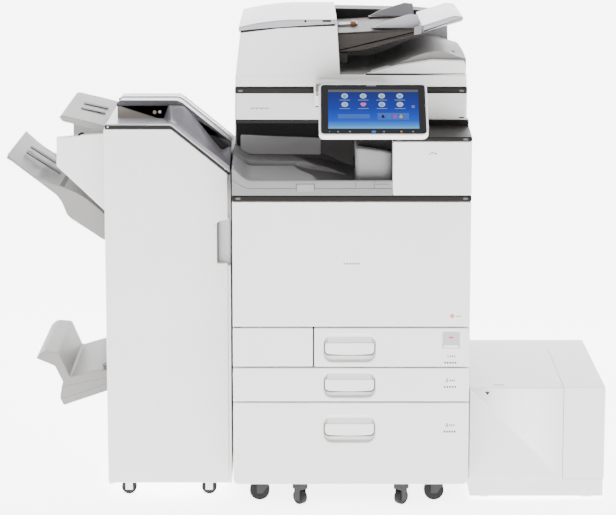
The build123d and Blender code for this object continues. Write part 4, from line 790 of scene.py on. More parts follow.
# Painted shade mask: 1 away from the platforms, lip and ear, 0 on them.
hollow_shade = 1 - np.maximum.reduce(
    [front_mask, rear_mask, leaf_mask, lip_mask, np.clip(ear / 14, 0, 1)]
)
hollow_shade_values = np.zeros(len(deck_piece.data.vertices), np.float32)
hollow_shade_values[: hollow_shade.size] = hollow_shade.ravel() ** 1.4
hollow_shade_attribute = deck_piece.data.attributes.new("hollow_shade", "FLOAT", "POINT")
hollow_shade_attribute.data.foreach_set("value", hollow_shade_values)
lip_x = np.linspace(bay_left, bay_right, 60)
lip_edge = strip_top + 17.5 + 22.0 * (
    1 - step_up(lip_x, bay_left - 14, bay_left + 48)
) ** 1.3 / 0.83
lip_ring = np.concatenate(
    [
        np.stack([lip_x, lip_edge], axis=1),
        [(bay_right, strip_top + 0.2), (bay_left, strip_top + 0.2)],
    ]
)
finished(
    "exit_tray_lip",
    [block(lip_ring, front + 0.5, front + 20, 1.2)],
    exit_grey,
    "main_body",
)
tab_x, tab_z = main_mid - 134, strip_top + 10
tab = [
    block(
        rectangle(tab_x, tab_x + 41, tab_z, tab_z + 18, [4, 4, 1, 1]),
        front + 0.1,
        front + 3,
        0.5,
    )
]
finished(
    "exit_tray_grip",
    tab,
    moulded("grip_pale_grey", (0.26, 0.255, 0.26), 0.5),
    "main_body",
)
seams = [
    cuboid(main_mid + 9, main_mid + 10.5, front + 1.9, front + 4, strip_top + 18.5, lip_z - 2, 0.2),
    cuboid(tab_x - 2.5, tab_x - 0.5, front + 0.3, front + 3, tab_z + 2, tab_z + 19, 0.2),
    cuboid(tab_x + 41.5, tab_x + 43.5, front + 0.3, front + 3, tab_z + 2, tab_z + 19, 0.2),
    cuboid(main_mid + 54, main_mid + 56, front + 1.9, front + 4, strip_top + 16, lip_z - 3, 0.2),
    cuboid(main_mid + 56, main_mid + 92, front + 1.9, front + 4, lip_z - 10, lip_z - 8, 0.2),
]
finished("exit_tray_seams", seams, shade_grey, "main_body")

# Exit unit: a rounded grey housing over the exit rollers, black blocks of painted shade above and
# behind, and a grey wall behind whose right part is painted in shade
unit_left, unit_right = bay_right - 90, bay_right
unit_top = strip_top + 113
unit_front, unit_back = front + 30, bay_back - 0.3
unit_plan = rectangle(unit_left, unit_right, unit_front, unit_back, [15, 22, 3, 3], 7)
unit_pairs = np.concatenate(
    [
        [(0.5, strip_top + 20)],
        [(0, strip_top + 20.5)],
        (edge_arc(5, 0, 1) * (1, -1) + (0, unit_top))[::-1],
    ]
)
unit_verts, unit_faces = loft(
    [shrink(unit_plan, inset) for inset, _ in unit_pairs],
    unit_pairs[:, 1],
    "z",
)
droop = 15 * step_up(unit_verts[:, 0], unit_right - 48, unit_right + 6)
unit_verts[:, 2] -= droop * step_up(unit_verts[:, 2], strip_top + 60, unit_top - 4)
unit_grey = moulded("exit_unit_grey", (0.21, 0.205, 0.21), 0.45)
finished(
    "exit_unit_housing",
    [(unit_verts, unit_faces)],
    unit_grey,
    "main_body",
    "exit_unit_cover",
)
wall_y = bay_back - 5
wall_end = main_mid - 74
wall_top_left, wall_top_right = strip_top + 108, strip_top + 100
pale_wall = outline(
    [
        (bay_left + 14, strip_top + 50),
        (wall_end, strip_top + 50),
        (wall_end, wall_top_right),
        (bay_left + 14, wall_top_left),
    ],
    [2, 2, 4, 4],
)
finished(
    "bay_wall_pale",
    [block(pale_wall, wall_y - 3, wall_y + 4, 1.5)],
    wall_grey,
    "main_body",
)
# The wall's right part in dark grey: painted shade deeper in the bay.
shade_wall = rectangle(wall_end - 2, bay_right - 1, strip_top + 10, wall_top_right, 1)
finished(
    "bay_wall_shaded",
    [block(shade_wall, wall_y - 1, wall_y + 4, 0.5)],
    shade_grey,
    "main_body",
)
bay_top = trim_high[2] - 82
# Black blocks at the bay's back, under the scanner and over the exit unit: painted shade of the
# deep bay, with black plastic there as well.
bay_shade_blocks = [
    cuboid(bay_left + 3.6, bay_right - 1, wall_y + 3, wall_y + 8, strip_top + 2, bay_top - 2),
    cuboid(bay_left + 6, bay_right - 1, scanner_front + 8, wall_y + 4, bay_top - 9, bay_top - 1),
    cuboid(unit_left + 6, bay_right - 0.5, unit_front + 40, wall_y, unit_top - 12, bay_top - 8),
]
finished("bay_painted_shade_blocks", bay_shade_blocks, bay_black, "main_body")
eject = [
    cuboid(
        unit_left - 3,
        unit_left + 2,
        unit_front + 70 + 60 * i,
        unit_front + 86 + 60 * i,
        strip_top + 52,
        strip_top + 62,
        2,
    )
    for i in range(3)
]
finished("exit_rollers", eject, bay_black, "main_body")

# ---------------------------------------------------------------- scanner
# A white flatbed housing on the machine's head, its corners rounded, with two clear glasses on
# top, and the white bracket at its front that carries the operation panel.


def softened(node, width, paint, body, name=None):
    """A merged copy of a CAD node whose edges get a live bevel, standing for the node."""
    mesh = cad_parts[node].data.copy()
    item = bpy.data.objects.new(name or f"{node}_finished", mesh)
    bpy.context.scene.collection.objects.link(item)
    shell = bmesh.new()
    shell.from_mesh(mesh)
    bmesh.ops.remove_doubles(shell, verts=shell.verts, dist=1e-6)
    bmesh.ops.dissolve_limit(
        shell,
        angle_limit=math.radians(1),
        verts=shell.verts,
        edges=shell.edges,
    )
    shell.to_mesh(mesh)
    shell.free()
    mesh.shade_smooth()
    mesh.set_sharp_from_angle(angle=math.radians(35))
    bevel = item.modifiers.new("edge", "BEVEL")
    bevel.width = width / 1000
    bevel.segments = 2
    bevel.limit_method = "ANGLE"
    bevel.angle_limit = math.radians(35)
    bevel.harden_normals = True
    mesh.materials.clear()
    mesh.materials.append(paint)
    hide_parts(node)
    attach(item, body)
    return item


scan_low = corners("scanner_housing")[0]
scan_x0, scan_x1 = band_x0, band_x1
scan_z0 = scan_low[2]
scan_ring = rectangle(scan_x0, scan_x1, scanner_front, band_rear, 6)
scan_shell = pan(scan_ring, scan_z0, band_low - 0.2, 3.5, 2.0, "z")
bracket_x0, bracket_x1 = main_mid - 92.5, main_mid + 92.5
bracket_low, bracket_high = band_low - 30, band_low + 36
hinge_y, hinge_z = front + 72, bracket_high - 16
bracket_plan = rectangle(bracket_x0, bracket_x1, bracket_low, bracket_high, [2, 2, 9, 9])
bracket_body = block(bracket_plan, hinge_y + 12, scanner_front, 5.0)
barrel_turn = np.linspace(0, 2 * np.pi, 33)[:-1]
barrel_ring = np.stack(
    [hinge_y + 12 * np.cos(barrel_turn), hinge_z + 12 * np.sin(barrel_turn)],
    axis=1,
)
barrel = block(barrel_ring, main_mid - 64, main_mid + 64, 1.2, "x")
web = cuboid(main_mid - 64, main_mid + 64, hinge_y, hinge_y + 14, hinge_z - 8, hinge_z + 8)
finished("scanner_shell", [scan_shell], warm_white, "main_body", "scanner_housing")
finished("panel_bracket", [bracket_body, web], warm_white, "main_body")
finished("panel_hinge_barrel", [barrel], exit_grey, "main_body")


def rod(ends, across, diameter, axis, edge=0.5):
    """A round bar along an axis; ends are along it and across is its centre in the other two."""
    turn = np.linspace(0, 2 * np.pi, 25)[:-1]
    ring = np.stack(
        [across[0] + diameter / 2 * np.cos(turn), across[1] + diameter / 2 * np.sin(turn)],
        axis=1,
    )
    return block(ring, ends[0], ends[1], edge, axis, 2)


rail_z = scan_z0 + 26
rails = [
    rod((scan_x0 + 3, scan_x1 - 3), (y, rail_z), 8, "x")
    for y in (glass_low[1] + 8, glass_high[1] - 8)
]
finished("scanner_rails", rails, lift_steel, "main_body")
lens_x = main_mid + 90
lens = [
    cuboid(
        lens_x,
        lens_x + 100,
        glass_low[1] + 90,
        glass_low[1] + 210,
        scan_z0 + 3.5,
        scan_z0 + 19,
        1,
    ),
    rod((lens_x - 14, lens_x), (glass_low[1] + 150, scan_z0 + 12), 12, "x"),
]
finished("scanner_lens_block", lens, bay_black, "main_body")
lid_pin_y, lid_pin_z = band_rear + 9, band_high + 11
cheeks = []
for centre in (main_mid - 190, main_mid + 190):
    for x in (centre - 25.6, centre + 20.6):
        cheeks.append(
            cuboid(x, x + 5, band_rear, lid_pin_y + 6, band_low - 30, lid_pin_z + 5.5, 1.2)
        )
    cheeks.append(
        cuboid(centre - 25.6, centre + 25.6, band_rear, band_rear + 3, band_low - 30, band_low - 2)
    )
    cheeks.append(rod((centre - 25.6, centre + 25.6), (lid_pin_y, lid_pin_z), 8, "x"))
finished("lid_hinge_cheeks", cheeks, lift_steel, "main_body")
badge_x, badge_z = main_left + 44, scan_z0 + 26
badge = [
    pill(
        badge_x + 6 * i,
        badge_x + 6 * i + 4.2,
        badge_z + 1.5 * (i % 2),
        badge_z + 5,
        scanner_front,
    )
    for i in range(8)
]
finished("scanner_front_mark", badge, exit_grey, "main_body")
corner_clips = [
    pill(main_right - 25, main_right - 11, scan_z0 + 4, scan_z0 + 7, scanner_front, 0.6)
]
finished("scanner_corner_clip", corner_clips, trim_brown, "main_body")

clear_glass = bpy.data.materials.new("platen_glass")
clear_glass.use_nodes = True
glass_nodes, glass_links = clear_glass.node_tree.nodes, clear_glass.node_tree.links
glass_shader = glass_nodes["Principled BSDF"]
glass_shader.inputs["Base Color"].default_value = (0.86, 0.92, 0.90, 1)
glass_shader.inputs["Transmission Weight"].default_value = 0.9
glass_shader.inputs["IOR"].default_value = 1.5
smear = glass_nodes.new("ShaderNodeTexNoise")
smear.inputs["Scale"].default_value = 9.0
smear_place = glass_nodes.new("ShaderNodeTexCoord")
smear_range = glass_nodes.new("ShaderNodeMapRange")
smear_range.inputs["To Min"].default_value = 0.02
smear_range.inputs["To Max"].default_value = 0.12
glass_links.new(smear_place.outputs["Object"], smear.inputs["Vector"])
glass_links.new(smear.outputs["Fac"], smear_range.inputs["Value"])
glass_links.new(smear_range.outputs["Result"], glass_shader.inputs["Roughness"])
repaint("platen_glass", clear_glass)
repaint("scan_carriage", bay_black)
repaint("mirror_carriage", bay_black)

# ---------------------------------------------------------------- document feeder
# A white moulded block with a leaning left side and a rising top, the slab of the lid, a grey
# curved output tray under the input tray, and a dark drive housing at the back.
lid_x0, lid_x1 = band_x0 + 1, band_x1 - 1
lid_y0, lid_y1 = scanner_front + 2, band_rear - 2
lid_z = band_high + 1
slab_top = lid_z + 30
feeder_x = lid_x0 + 253
feeder_z = lid_z + 135
head = outline(
    [
        (lid_x0, slab_top - 8),
        (feeder_x + 8, slab_top - 8),
        (feeder_x, feeder_z + 18),
        (lid_x0 + 110, feeder_z + 12),
        (lid_x0 + 13, feeder_z),
    ],
    [3, 3, 3, 120, 5],
    8,
)
head_block = block(head, lid_y0 + 0.4, lid_y1, 2.2, "y", 4)
slab = block(rectangle(lid_x0, lid_x1, lid_y0, lid_y1, 7), lid_z, slab_top, 3.5, "z", 4)
finished("feeder_head", [head_block, slab], warm_white, "feeder", "adf_body")
pad = cuboid(
    glass_low[0] + 32,
    glass_high[0],
    glass_low[1],
    glass_high[1],
    band_high + 0.35,
    lid_z,
    0.3,
)
finished("platen_pad", [pad], card_white, "feeder")

ramp_grey = moulded("feeder_ramp_grey", (0.20, 0.195, 0.19), 0.5)
rear_grey = moulded("feeder_wall_grey", (0.34, 0.335, 0.33), 0.5)
rear_wall_y = lid_y1 - 110
u = np.linspace(0, 1, 90)
ramp_x = feeder_x + 2 + (lid_x1 - 2 - feeder_x - 2) * u
ramp_rise = 8 + 52 * step_up(u, 0.22, 0.78) - 18 * step_up(u, 0.80, 1.02)
x_grid, y_grid = np.meshgrid(ramp_x, np.linspace(lid_y0 + 14, rear_wall_y + 2, 40))
crown = 4 * np.sin(np.pi * (y_grid - lid_y0 - 14) / (rear_wall_y - lid_y0 - 12))
ramp_z = slab_top + np.broadcast_to(ramp_rise, x_grid.shape) - 3 + crown * step_up(
    x_grid,
    feeder_x + 20,
    feeder_x + 140,
)
finished(
    "output_tray_ramp",
    [relief(x_grid, y_grid, ramp_z, slab_top - 3)],
    ramp_grey,
    "feeder",
)
corner_shape = outline(
    [
        (feeder_x + 55, slab_top - 2),
        (lid_x1 - 1, slab_top - 2),
        (lid_x1 - 6, slab_top + 36),
        (lid_x1 - 88, slab_top + 38),
        (feeder_x + 150, slab_top + 24),
    ],
    [2, 4, 9, 60, 90],
    8,
)
finished(
    "output_tray_corner",
    [block(corner_shape, lid_y0 + 1.5, lid_y0 + 60, 5.0, "y", 4)],
    warm_white,
    "feeder",
)
latch = [
    cuboid(lid_x1 - 36, lid_x1 - 27, lid_y0 + 75, lid_y0 + 90, slab_top + 44, slab_top + 52, 2)
]
finished("output_tray_latch", latch, shade_grey, "feeder")
# The wall's mid grey is partly its own light grey and partly painted shade, as it stands under the
# input tray.
back_wall = outline(
    [
        (feeder_x + 2, slab_top - 3),
        (lid_x1 - 24, slab_top - 3),
        (lid_x1 - 27, slab_top + 98),
        (feeder_x + 2, slab_top + 40),
    ],
    [0.6, 2, 4, 2],
)
finished(
    "feeder_rear_wall",
    [block(back_wall, rear_wall_y, rear_wall_y + 14, 2.0)],
    rear_grey,
    "feeder",
)
drive = outline(
    [
        (feeder_x - 0.5, slab_top - 3),
        (lid_x1 - 30, slab_top - 3),
        (lid_x1 - 60, slab_top + 119),
        (feeder_x + 210, slab_top + 124),
        (feeder_x - 0.5, slab_top + 128),
    ],
    [0.6, 2, 10, 60, 2],
    8,
)
drive_block = block(drive, rear_wall_y + 3, lid_y1, 4.0, "y", 4)
throat = cuboid(
    feeder_x - 3,
    feeder_x + 26,
    lid_y0 + 26,
    rear_wall_y + 6,
    slab_top + 26,
    slab_top + 52,
    2,
)
finished("feeder_drive_housing", [drive_block, throat], bay_black, "feeder")
mouth = [
    cuboid(
        feeder_x - 5,
        feeder_x + 2.4,
        lid_y0 + 24,
        rear_wall_y + 4,
        slab_top + 40,
        slab_top + 116,
        1.0,
    )
]
finished("feeder_mouth", mouth, bay_black, "feeder")
roller_y = (lid_y0 + rear_wall_y) / 2
pickup_arm = outline(
    [
        (feeder_x + 4, slab_top + 88),
        (feeder_x + 46, slab_top + 96),
        (feeder_x + 58, slab_top + 112),
        (feeder_x + 4, slab_top + 108),
    ],
    3,
)
roller = rod((roller_y - 24, roller_y + 24), (feeder_x + 44, slab_top + 106), 18, "y", 1.5)
finished(
    "pickup_arm",
    [block(pickup_arm, roller_y - 30, roller_y + 30, 2)],
    rear_grey,
    "feeder",
)
orange = moulded("pickup_orange", (0.62, 0.22, 0.08), 0.45)
finished("pickup_roller", [roller], shade_grey, "feeder")
finished(
    "pickup_release",
    [
        cuboid(
            feeder_x + 36,
            feeder_x + 50,
            roller_y - 40,
            roller_y - 30,
            slab_top + 108,
            slab_top + 118,
            2,
        )
    ],
    orange,
    "feeder",
)
knuckles = [
    rod((centre - 20, centre + 20), (lid_pin_y, lid_pin_z), 18, "x", 1.0)
    for centre in (main_mid - 190, main_mid + 190)
]
knuckles += [
    cuboid(centre - 20, centre + 20, lid_y1 - 4, lid_pin_y, lid_pin_z - 9, lid_pin_z + 9, 1)
    for centre in (main_mid - 190, main_mid + 190)
]
finished("lid_hinge_knuckles", knuckles, exit_grey, "feeder")

# Feed cover: a lavender-silver moulding whose back arches over the feed rollers
silver = moulded("lavender_silver_plastic", (0.34, 0.335, 0.365), 0.36, 1500.0, 0.05, coat=0.15)
cover_x0, cover_x1 = lid_x0 + 9, feeder_x - 1.5
u = np.linspace(0, 1, 60)
under = feeder_z + 1.6 + 18 * u ** 0.75
over = feeder_z + 9 + 23.5 * np.sin(np.clip(u * 1.5 + 0.08, 0, 1) * np.pi / 2) ** 0.8
cover_x = cover_x0 + (cover_x1 - cover_x0) * u
cover_ring = np.concatenate(
    [np.stack([cover_x, under], axis=1), np.stack([cover_x, over], axis=1)[::-1]]
)
cover_piece = block(cover_ring, lid_y0 + 1, lid_y1 - 26, 3.5, "y", 4)
finished("feed_cover_silver", [cover_piece], silver, "feed_cover", "adf_feed_cover")
seal_ring = np.concatenate(
    [
        np.stack([cover_x[1:-1], under[1:-1] + 2.5], axis=1),
        np.stack([cover_x[1:-1], under[1:-1] - 3.2], axis=1)[::-1],
    ]
)
finished(
    "feed_cover_seal",
    [block(seal_ring, lid_y0 + 0.7, lid_y1 - 27, 0.5)],
    bay_black,
    "feed_cover",
)
lamps = [
    pill(cover_x1 - 80, cover_x1 - 74, feeder_z + 25.5, feeder_z + 31, lid_y0 + 1.4, 0.6),
    pill(cover_x1 - 35, cover_x1 - 13, feeder_z + 26.5, feeder_z + 31, lid_y0 + 1.4, 0.6),
]
finished("feed_cover_lamps", lamps, bay_black, "feed_cover")

# Input tray: a dark wedge by the feeder and a silver blade that rises to the right
wedge_brown = moulded("input_wedge_brown", (0.035, 0.030, 0.027), 0.5)
in_low, in_high = corners("adf_input_tray")
in_y0, in_y1 = lid_y0 + 26, lid_y0 + 398
in_x0, in_x1 = in_low[0], in_high[0]
in_z0 = in_low[2]
wedge = outline(
    [
        (in_x0 + 0.5, in_z0 + 0.5),
        (in_x0 + 84, in_z0 + 8),
        (in_x0 + 228, in_z0 + 50),
        (in_x0 + 228, in_z0 + 60),
        (in_x0 + 120, in_z0 + 56.5),
        (in_x0 + 0.5, in_z0 + 50),
    ],
    [1, 20, 1, 1, 30, 1],
    4,
)
blade = outline(
    [
        (in_x0 + 226, in_z0 + 51.5),
        (in_x1 - 6, in_z0 + 78.5),
        (in_x1, in_z0 + 84),
        (in_x1 - 1, in_z0 + 91),
        (in_x1 - 24, in_z0 + 93.5),
        (in_x0 + 226, in_z0 + 68.5),
    ],
    [1, 3, 3, 3, 20, 1],
    4,
)
finished(
    "input_tray_wedge",
    [block(wedge, in_y0, in_y1, 3.0, "y", 4)],
    wedge_brown,
    "input_tray",
    "adf_input_tray",
)
finished(
    "input_tray_blade",
    [block(blade, in_y0, in_y1, 3.5, "y", 4)],
    silver,
    "input_tray",
)
saddle = outline(
    [
        (in_x0 + 205, in_z0 + 45),
        (in_x0 + 224, in_z0 + 49),
        (in_x0 + 226, in_z0 + 70),
        (in_x0 + 206, in_z0 + 66),
    ],
    2,
)
finished(
    "input_tray_saddle",
    [block(saddle, in_y0 - 1, in_y0 + 40, 1.5)],
    exit_grey,
    "input_tray",
)
pin_ends = [
    rod((in_y0 - 13, in_y0 + 1), (in_x0 + 7, in_z0 + 30), 6, "y"),
    rod((in_y1 - 1, in_y1 + 12), (in_x0 + 7, in_z0 + 30), 6, "y"),
]
finished("input_tray_pins", pin_ends, lift_steel, "input_tray")

# Paper guides: silver fences with a dark foot that slide on the input tray
for name, sense in (("front", -1), ("rear", 1)):
    node = f"adf_guide_{name}"
    (x0, y0, z0), (x1, y1, z1) = corners(node)
    outer_y = y0 if sense < 0 else y1
    rise = (z1 - z0 - 34) / 2
    fence = outline(
        [
            (x0, z0 + 1.5),
            (x1, z0 + 2 * rise - 4),
            (x1 - 3, z1 - 4),
            (x1 - 26, z1 - 2),
            (x0 + 34, z0 + 16 + rise),
        ],
        [1, 1, 4, 8, 20],
    )
    y_pair = sorted((outer_y, outer_y - sense * 5))
    foot = outline(
        [(x0, z0 + 0.4), (x1, z0 + 2 * rise - 7), (x1, z0 + 2 * rise - 4), (x0, z0 + 3)],
        0.5,
    )
    foot_pair = sorted((outer_y, outer_y - sense * 34))
    finished(
        f"guide_{name}_fence",
        [block(fence, *y_pair, 1.2)],
        silver,
        f"guide_{name}",
        node,
    )
    finished(
        f"guide_{name}_foot",
        [block(foot, *foot_pair, 0.6)],
        wedge_brown,
        f"guide_{name}",
    )

# ---------------------------------------------------------------- operation panel
# A tilting touch panel: a white rounded frame, one sheet of black glass, and the picture under
# it, laid out in the panel's own plane (u to the right, v up the glass, depth into it).
screen_low, screen_high = corners("panel_screen")
elevation = math.radians(50)
glass_up = np.array([0, math.sin(elevation), math.cos(elevation)])
glass_out = np.array([0, -math.cos(elevation), math.sin(elevation)])
panel_centre = (screen_low + screen_high) / 2 + glass_out * 1.5
panel_wide, panel_high = 264.0, 171.0


def on_panel(shape):
    """A shape made facing -Y, laid on the tilted panel: x is u, z is v, and y is depth."""
    verts, faces = shape
    placed = (
        panel_centre
        + np.outer(verts[:, 0], [1, 0, 0])
        + np.outer(verts[:, 2], glass_up)
        - np.outer(verts[:, 1], glass_out)
    )
    return placed, faces


frame_ring = rectangle(
    -panel_wide / 2,
    panel_wide / 2,
    -panel_high / 2,
    panel_high / 2,
    [13, 17, 13, 13],
    8,
)
inner_ring = rectangle(-127, 127, -80.5, 80.5, 8, 8)
shell_piece = dished(frame_ring, inner_ring, 0.0, 16.0, 3.0, 3.0, 0.8, 0.3)
finished("panel_frame", [on_panel(shell_piece)], warm_white, "panel", "panel_shell")
back_cover = block(rectangle(-112, 112, -66, 66, 14, 6), 12.0, 16.0, 1.5)
lugs = []
for side in (-1, 1):
    x_a = main_mid + side * 64.6
    x_b = x_a + side * 24
    lug_x = sorted((x_a, x_b))
    lugs.append(block(barrel_ring, *lug_x, 1.2, "x"))
    local = sorted((x_a - panel_centre[0], x_b - panel_centre[0]))
    lug_v = 92 * math.sin(elevation) + 38 * math.cos(elevation)
    lugs.append(on_panel(cuboid(local[0], local[1], 15, 31, lug_v - 24, lug_v, 1.0)))
finished("panel_lugs", [on_panel(back_cover), *lugs], exit_grey, "panel")

glass_black = bpy.data.materials.new("panel_black_glass")
glass_black.use_nodes = True
black_nodes, black_links = glass_black.node_tree.nodes, glass_black.node_tree.links
black_shader = black_nodes["Principled BSDF"]
black_shader.inputs["Specular IOR Level"].default_value = 0.12
finger_place = black_nodes.new("ShaderNodeTexCoord")
finger_noise = black_nodes.new("ShaderNodeTexNoise")
finger_noise.inputs["Scale"].default_value = 14.0
finger_range = black_nodes.new("ShaderNodeMapRange")
finger_range.inputs["To Min"].default_value = 0.10
finger_range.inputs["To Max"].default_value = 0.22
finger_tone = black_nodes.new("ShaderNodeMix")
finger_tone.data_type = "RGBA"
finger_tone.inputs["A"].default_value = (0.006, 0.006, 0.007, 1)
finger_tone.inputs["B"].default_value = (0.010, 0.010, 0.012, 1)
black_links.new(finger_place.outputs["Object"], finger_noise.inputs["Vector"])
black_links.new(finger_noise.outputs["Fac"], finger_range.inputs["Value"])
black_links.new(finger_range.outputs["Result"], black_shader.inputs["Roughness"])
black_links.new(finger_noise.outputs["Fac"], finger_tone.inputs["Factor"])
black_links.new(finger_tone.outputs["Result"], black_shader.inputs["Base Color"])
glass_sheet = block(rectangle(-126.6, 126.6, -80.1, 80.1, 7.6, 8), 0.1, 2.9, 0.4)
finished(
    "panel_glass",
    [on_panel(glass_sheet)],
    glass_black,
    "panel",
    "panel_screen",
)


def lit(name, colour, strength=1.0):
    """A lit screen colour: dim black plastic underneath, with a slow change in its glow."""
    paint = bpy.data.materials.new(name)
    paint.use_nodes = True
    nodes, links = paint.node_tree.nodes, paint.node_tree.links
    shader = nodes["Principled BSDF"]
    shader.inputs["Base Color"].default_value = (0.01, 0.01, 0.01, 1)
    shader.inputs["Roughness"].default_value = 0.3
    shader.inputs["Specular IOR Level"].default_value = 0.05
    shader.inputs["Emission Strength"].default_value = strength
    place = nodes.new("ShaderNodeTexCoord")
    cells = nodes.new("ShaderNodeTexNoise")
    cells.inputs["Scale"].default_value = 60.0
    shade = nodes.new("ShaderNodeMix")
    shade.data_type = "RGBA"
    shade.inputs["A"].default_value = (*[channel * 0.88 for channel in colour], 1)
    shade.inputs["B"].default_value = (*colour, 1)
    links.new(place.outputs["Object"], cells.inputs["Vector"])
    links.new(cells.outputs["Fac"], shade.inputs["Factor"])
    links.new(shade.outputs["Result"], shader.inputs["Emission Color"])
    return paint


# The picture: a navy field that brightens down the glass to a pale glow, mapped by height v
picture = lit("screen_blue_picture", (0.02, 0.10, 0.75))
picture_nodes, picture_links = picture.node_tree.nodes, picture.node_tree.links
picture_shader = picture_nodes["Principled BSDF"]
picture_place = picture_nodes.new("ShaderNodeTexCoord")
up_glass = picture_nodes.new("ShaderNodeVectorMath")
up_glass.operation = "DOT_PRODUCT"
up_glass.inputs[1].default_value = glass_up
height_share = picture_nodes.new("ShaderNodeMapRange")
centre_up = float(panel_centre @ glass_up) / 1000
height_share.inputs["From Min"].default_value = centre_up - 0.066
height_share.inputs["From Max"].default_value = centre_up + 0.062
ramp_node = picture_nodes.new("ShaderNodeValToRGB")
stops = [
    (0.0, (0.16, 0.60, 1.0)),
    (0.10, (0.04, 0.30, 0.95)),
    (0.22, (0.0, 0.09, 0.75)),
    (0.55, (0.0, 0.03, 0.42)),
    (1.0, (0.0, 0.015, 0.16)),
]
ramp_node.color_ramp.elements[0].position, ramp_node.color_ramp.elements[0].color = (
    stops[0][0],
    (*stops[0][1], 1),
)
ramp_node.color_ramp.elements[1].position, ramp_node.color_ramp.elements[1].color = (
    stops[-1][0],
    (*stops[-1][1], 1),
)
for position, colour in stops[1:-1]:
    element = ramp_node.color_ramp.elements.new(position)
    element.color = (*colour, 1)
picture_links.new(picture_place.outputs["Object"], up_glass.inputs[0])
picture_links.new(up_glass.outputs["Value"], height_share.inputs["Value"])
picture_links.new(height_share.outputs["Result"], ramp_node.inputs["Fac"])
picture_links.new(ramp_node.outputs["Color"], picture_shader.inputs["Emission Color"])


def chip(u0, u1, v0, v1, radius=0.4, lift=0.0):
    """A thin lit tile just above the glass."""
    return on_panel(block(rectangle(u0, u1, v0, v1, radius, 5), -0.02 - lift, 0.2, 0.01, "y", 2))


def spot(u, v, radius, lift=0.05):
    """A thin lit disc just above the glass."""
    turn = np.linspace(0, 2 * np.pi, 25)[:-1]
    ring = np.stack([u + radius * np.cos(turn), v + radius * np.sin(turn)], axis=1)
    return on_panel(block(ring, -0.02 - lift, 0.2, 0.01, "y", 2))


screen_u0, screen_u1 = -109.5, 110.0
screen_v0, screen_v1 = -64.0, 64.0
finished(
    "screen_picture",
    [chip(screen_u0, screen_u1, screen_v0, screen_v1 - 8)],
    picture,
    "panel",
)
finished(
    "screen_status_bar",
    [chip(screen_u0, screen_u1, screen_v1 - 8, screen_v1)],
    lit("screen_grey", (0.13, 0.13, 0.15)),
    "panel",
)
icon_us = (-69, -24, 21, 65)
rows = (43, 15)
whites, cyans, greys, captions = [], [], [], []
for row, v in enumerate(rows):
    for column, u in enumerate(icon_us):
        if (row, column) != (1, 1):
            whites.append(spot(u, v, 8.2, 0.04))
        inner = spot(u, v - 0.5, 5.0, 0.08)
        (cyans if (row + column) % 3 == 0 else greys).append(inner)
        captions.append(chip(u - 13, u + 13, v - 14.5, v - 12.7, 0.5, 0.04))
finished(
    "screen_icons",
    whites,
    lit("screen_white", (0.62, 0.80, 0.95)),
    "panel",
)
finished(
    "screen_icon_hearts",
    cyans,
    lit("screen_cyan", (0.10, 0.50, 0.85)),
    "panel",
)
finished(
    "screen_icon_marks",
    greys,
    lit("screen_pale_green", (0.42, 0.62, 0.55)),
    "panel",
)
finished(
    "screen_captions",
    captions,
    lit("screen_caption", (0.30, 0.40, 0.75)),
    "panel",
)
pinks = [
    spot(-24 - 2.6, 15 + 1.6, 4.4, 0.1),
    spot(-24 + 2.6, 15 + 1.6, 4.4, 0.1),
    spot(-24, 15 - 1.6, 5.0, 0.1),
]
finished(
    "screen_pink_icon",
    pinks,
    lit("screen_pink", (0.85, 0.25, 0.45)),
    "panel",
)
box_tile = [chip(-86, -9, -31, -17, 1.0, 0.04), chip(10, 86, -35, -13, 1.0, 0.03)]
finished(
    "screen_message_boxes",
    box_tile,
    lit("screen_box_blue", (0.05, 0.16, 0.70)),
    "panel",
)
control = [chip(93, 101, 9, 11, 0.5, 0.05), chip(93, 101, 4.5, 6.5, 0.5, 0.05)]
finished(
    "screen_side_control",
    control,
    lit("screen_control", (0.35, 0.45, 0.75)),
    "panel",
)
drop_colours = ((0.004, 0.004, 0.01), (0.05, 0.20, 0.80), (0.75, 0.05, 0.30), (0.80, 0.62, 0.05))
for index, colour in enumerate(drop_colours):
    u = 23 + 14.5 * index
    drop = [
        spot(u, -26, 4.0, 0.07),
        on_panel(
            block(
                outline([(u - 3.2, -24.2), (u + 3.2, -24.2), (u, -17)], 0.6),
                -0.09,
                0.2,
                0.01,
                "y",
                2,
            )
        ),
    ]
    finished(
        f"screen_toner_level_{index + 1}",
        drop,
        lit(f"screen_level_{index + 1}", colour),
        "panel",
    )
finished(
    "panel_key_home",
    [chip(-5, 5, -77, -70.5, 1.5, 0.03)],
    lit("key_bright_blue", (0.05, 0.22, 0.95)),
    "panel",
)
key_marks = [
    chip(-88, -84, -75.5, -72, 0.8, 0.03),
    chip(-60, -55, -75.5, -72, 0.8, 0.03),
    chip(22, 27, -75.5, -72, 0.8, 0.03),
]
key_marks += [chip(92, 97, -75.5, -72, 0.8, 0.03), chip(-108, -105, -75, -73, 0.6, 0.03)]
finished(
    "panel_key_marks",
    key_marks,
    lit("key_pale", (0.30, 0.32, 0.36)),
    "panel",
)
finished(
    "panel_key_orange",
    [chip(64, 69, -75.5, -71.5, 0.8, 0.03)],
    lit("key_orange", (0.90, 0.35, 0.10)),
    "panel",
)
sensor = [chip(-16, 8, 75.5, 78.8, 1.2, 0.03)]
finished(
    "panel_light_sensor",
    sensor,
    lit("sensor_grey", (0.34, 0.33, 0.35)),
    "panel",
)
repaint("panel_key", exit_grey)

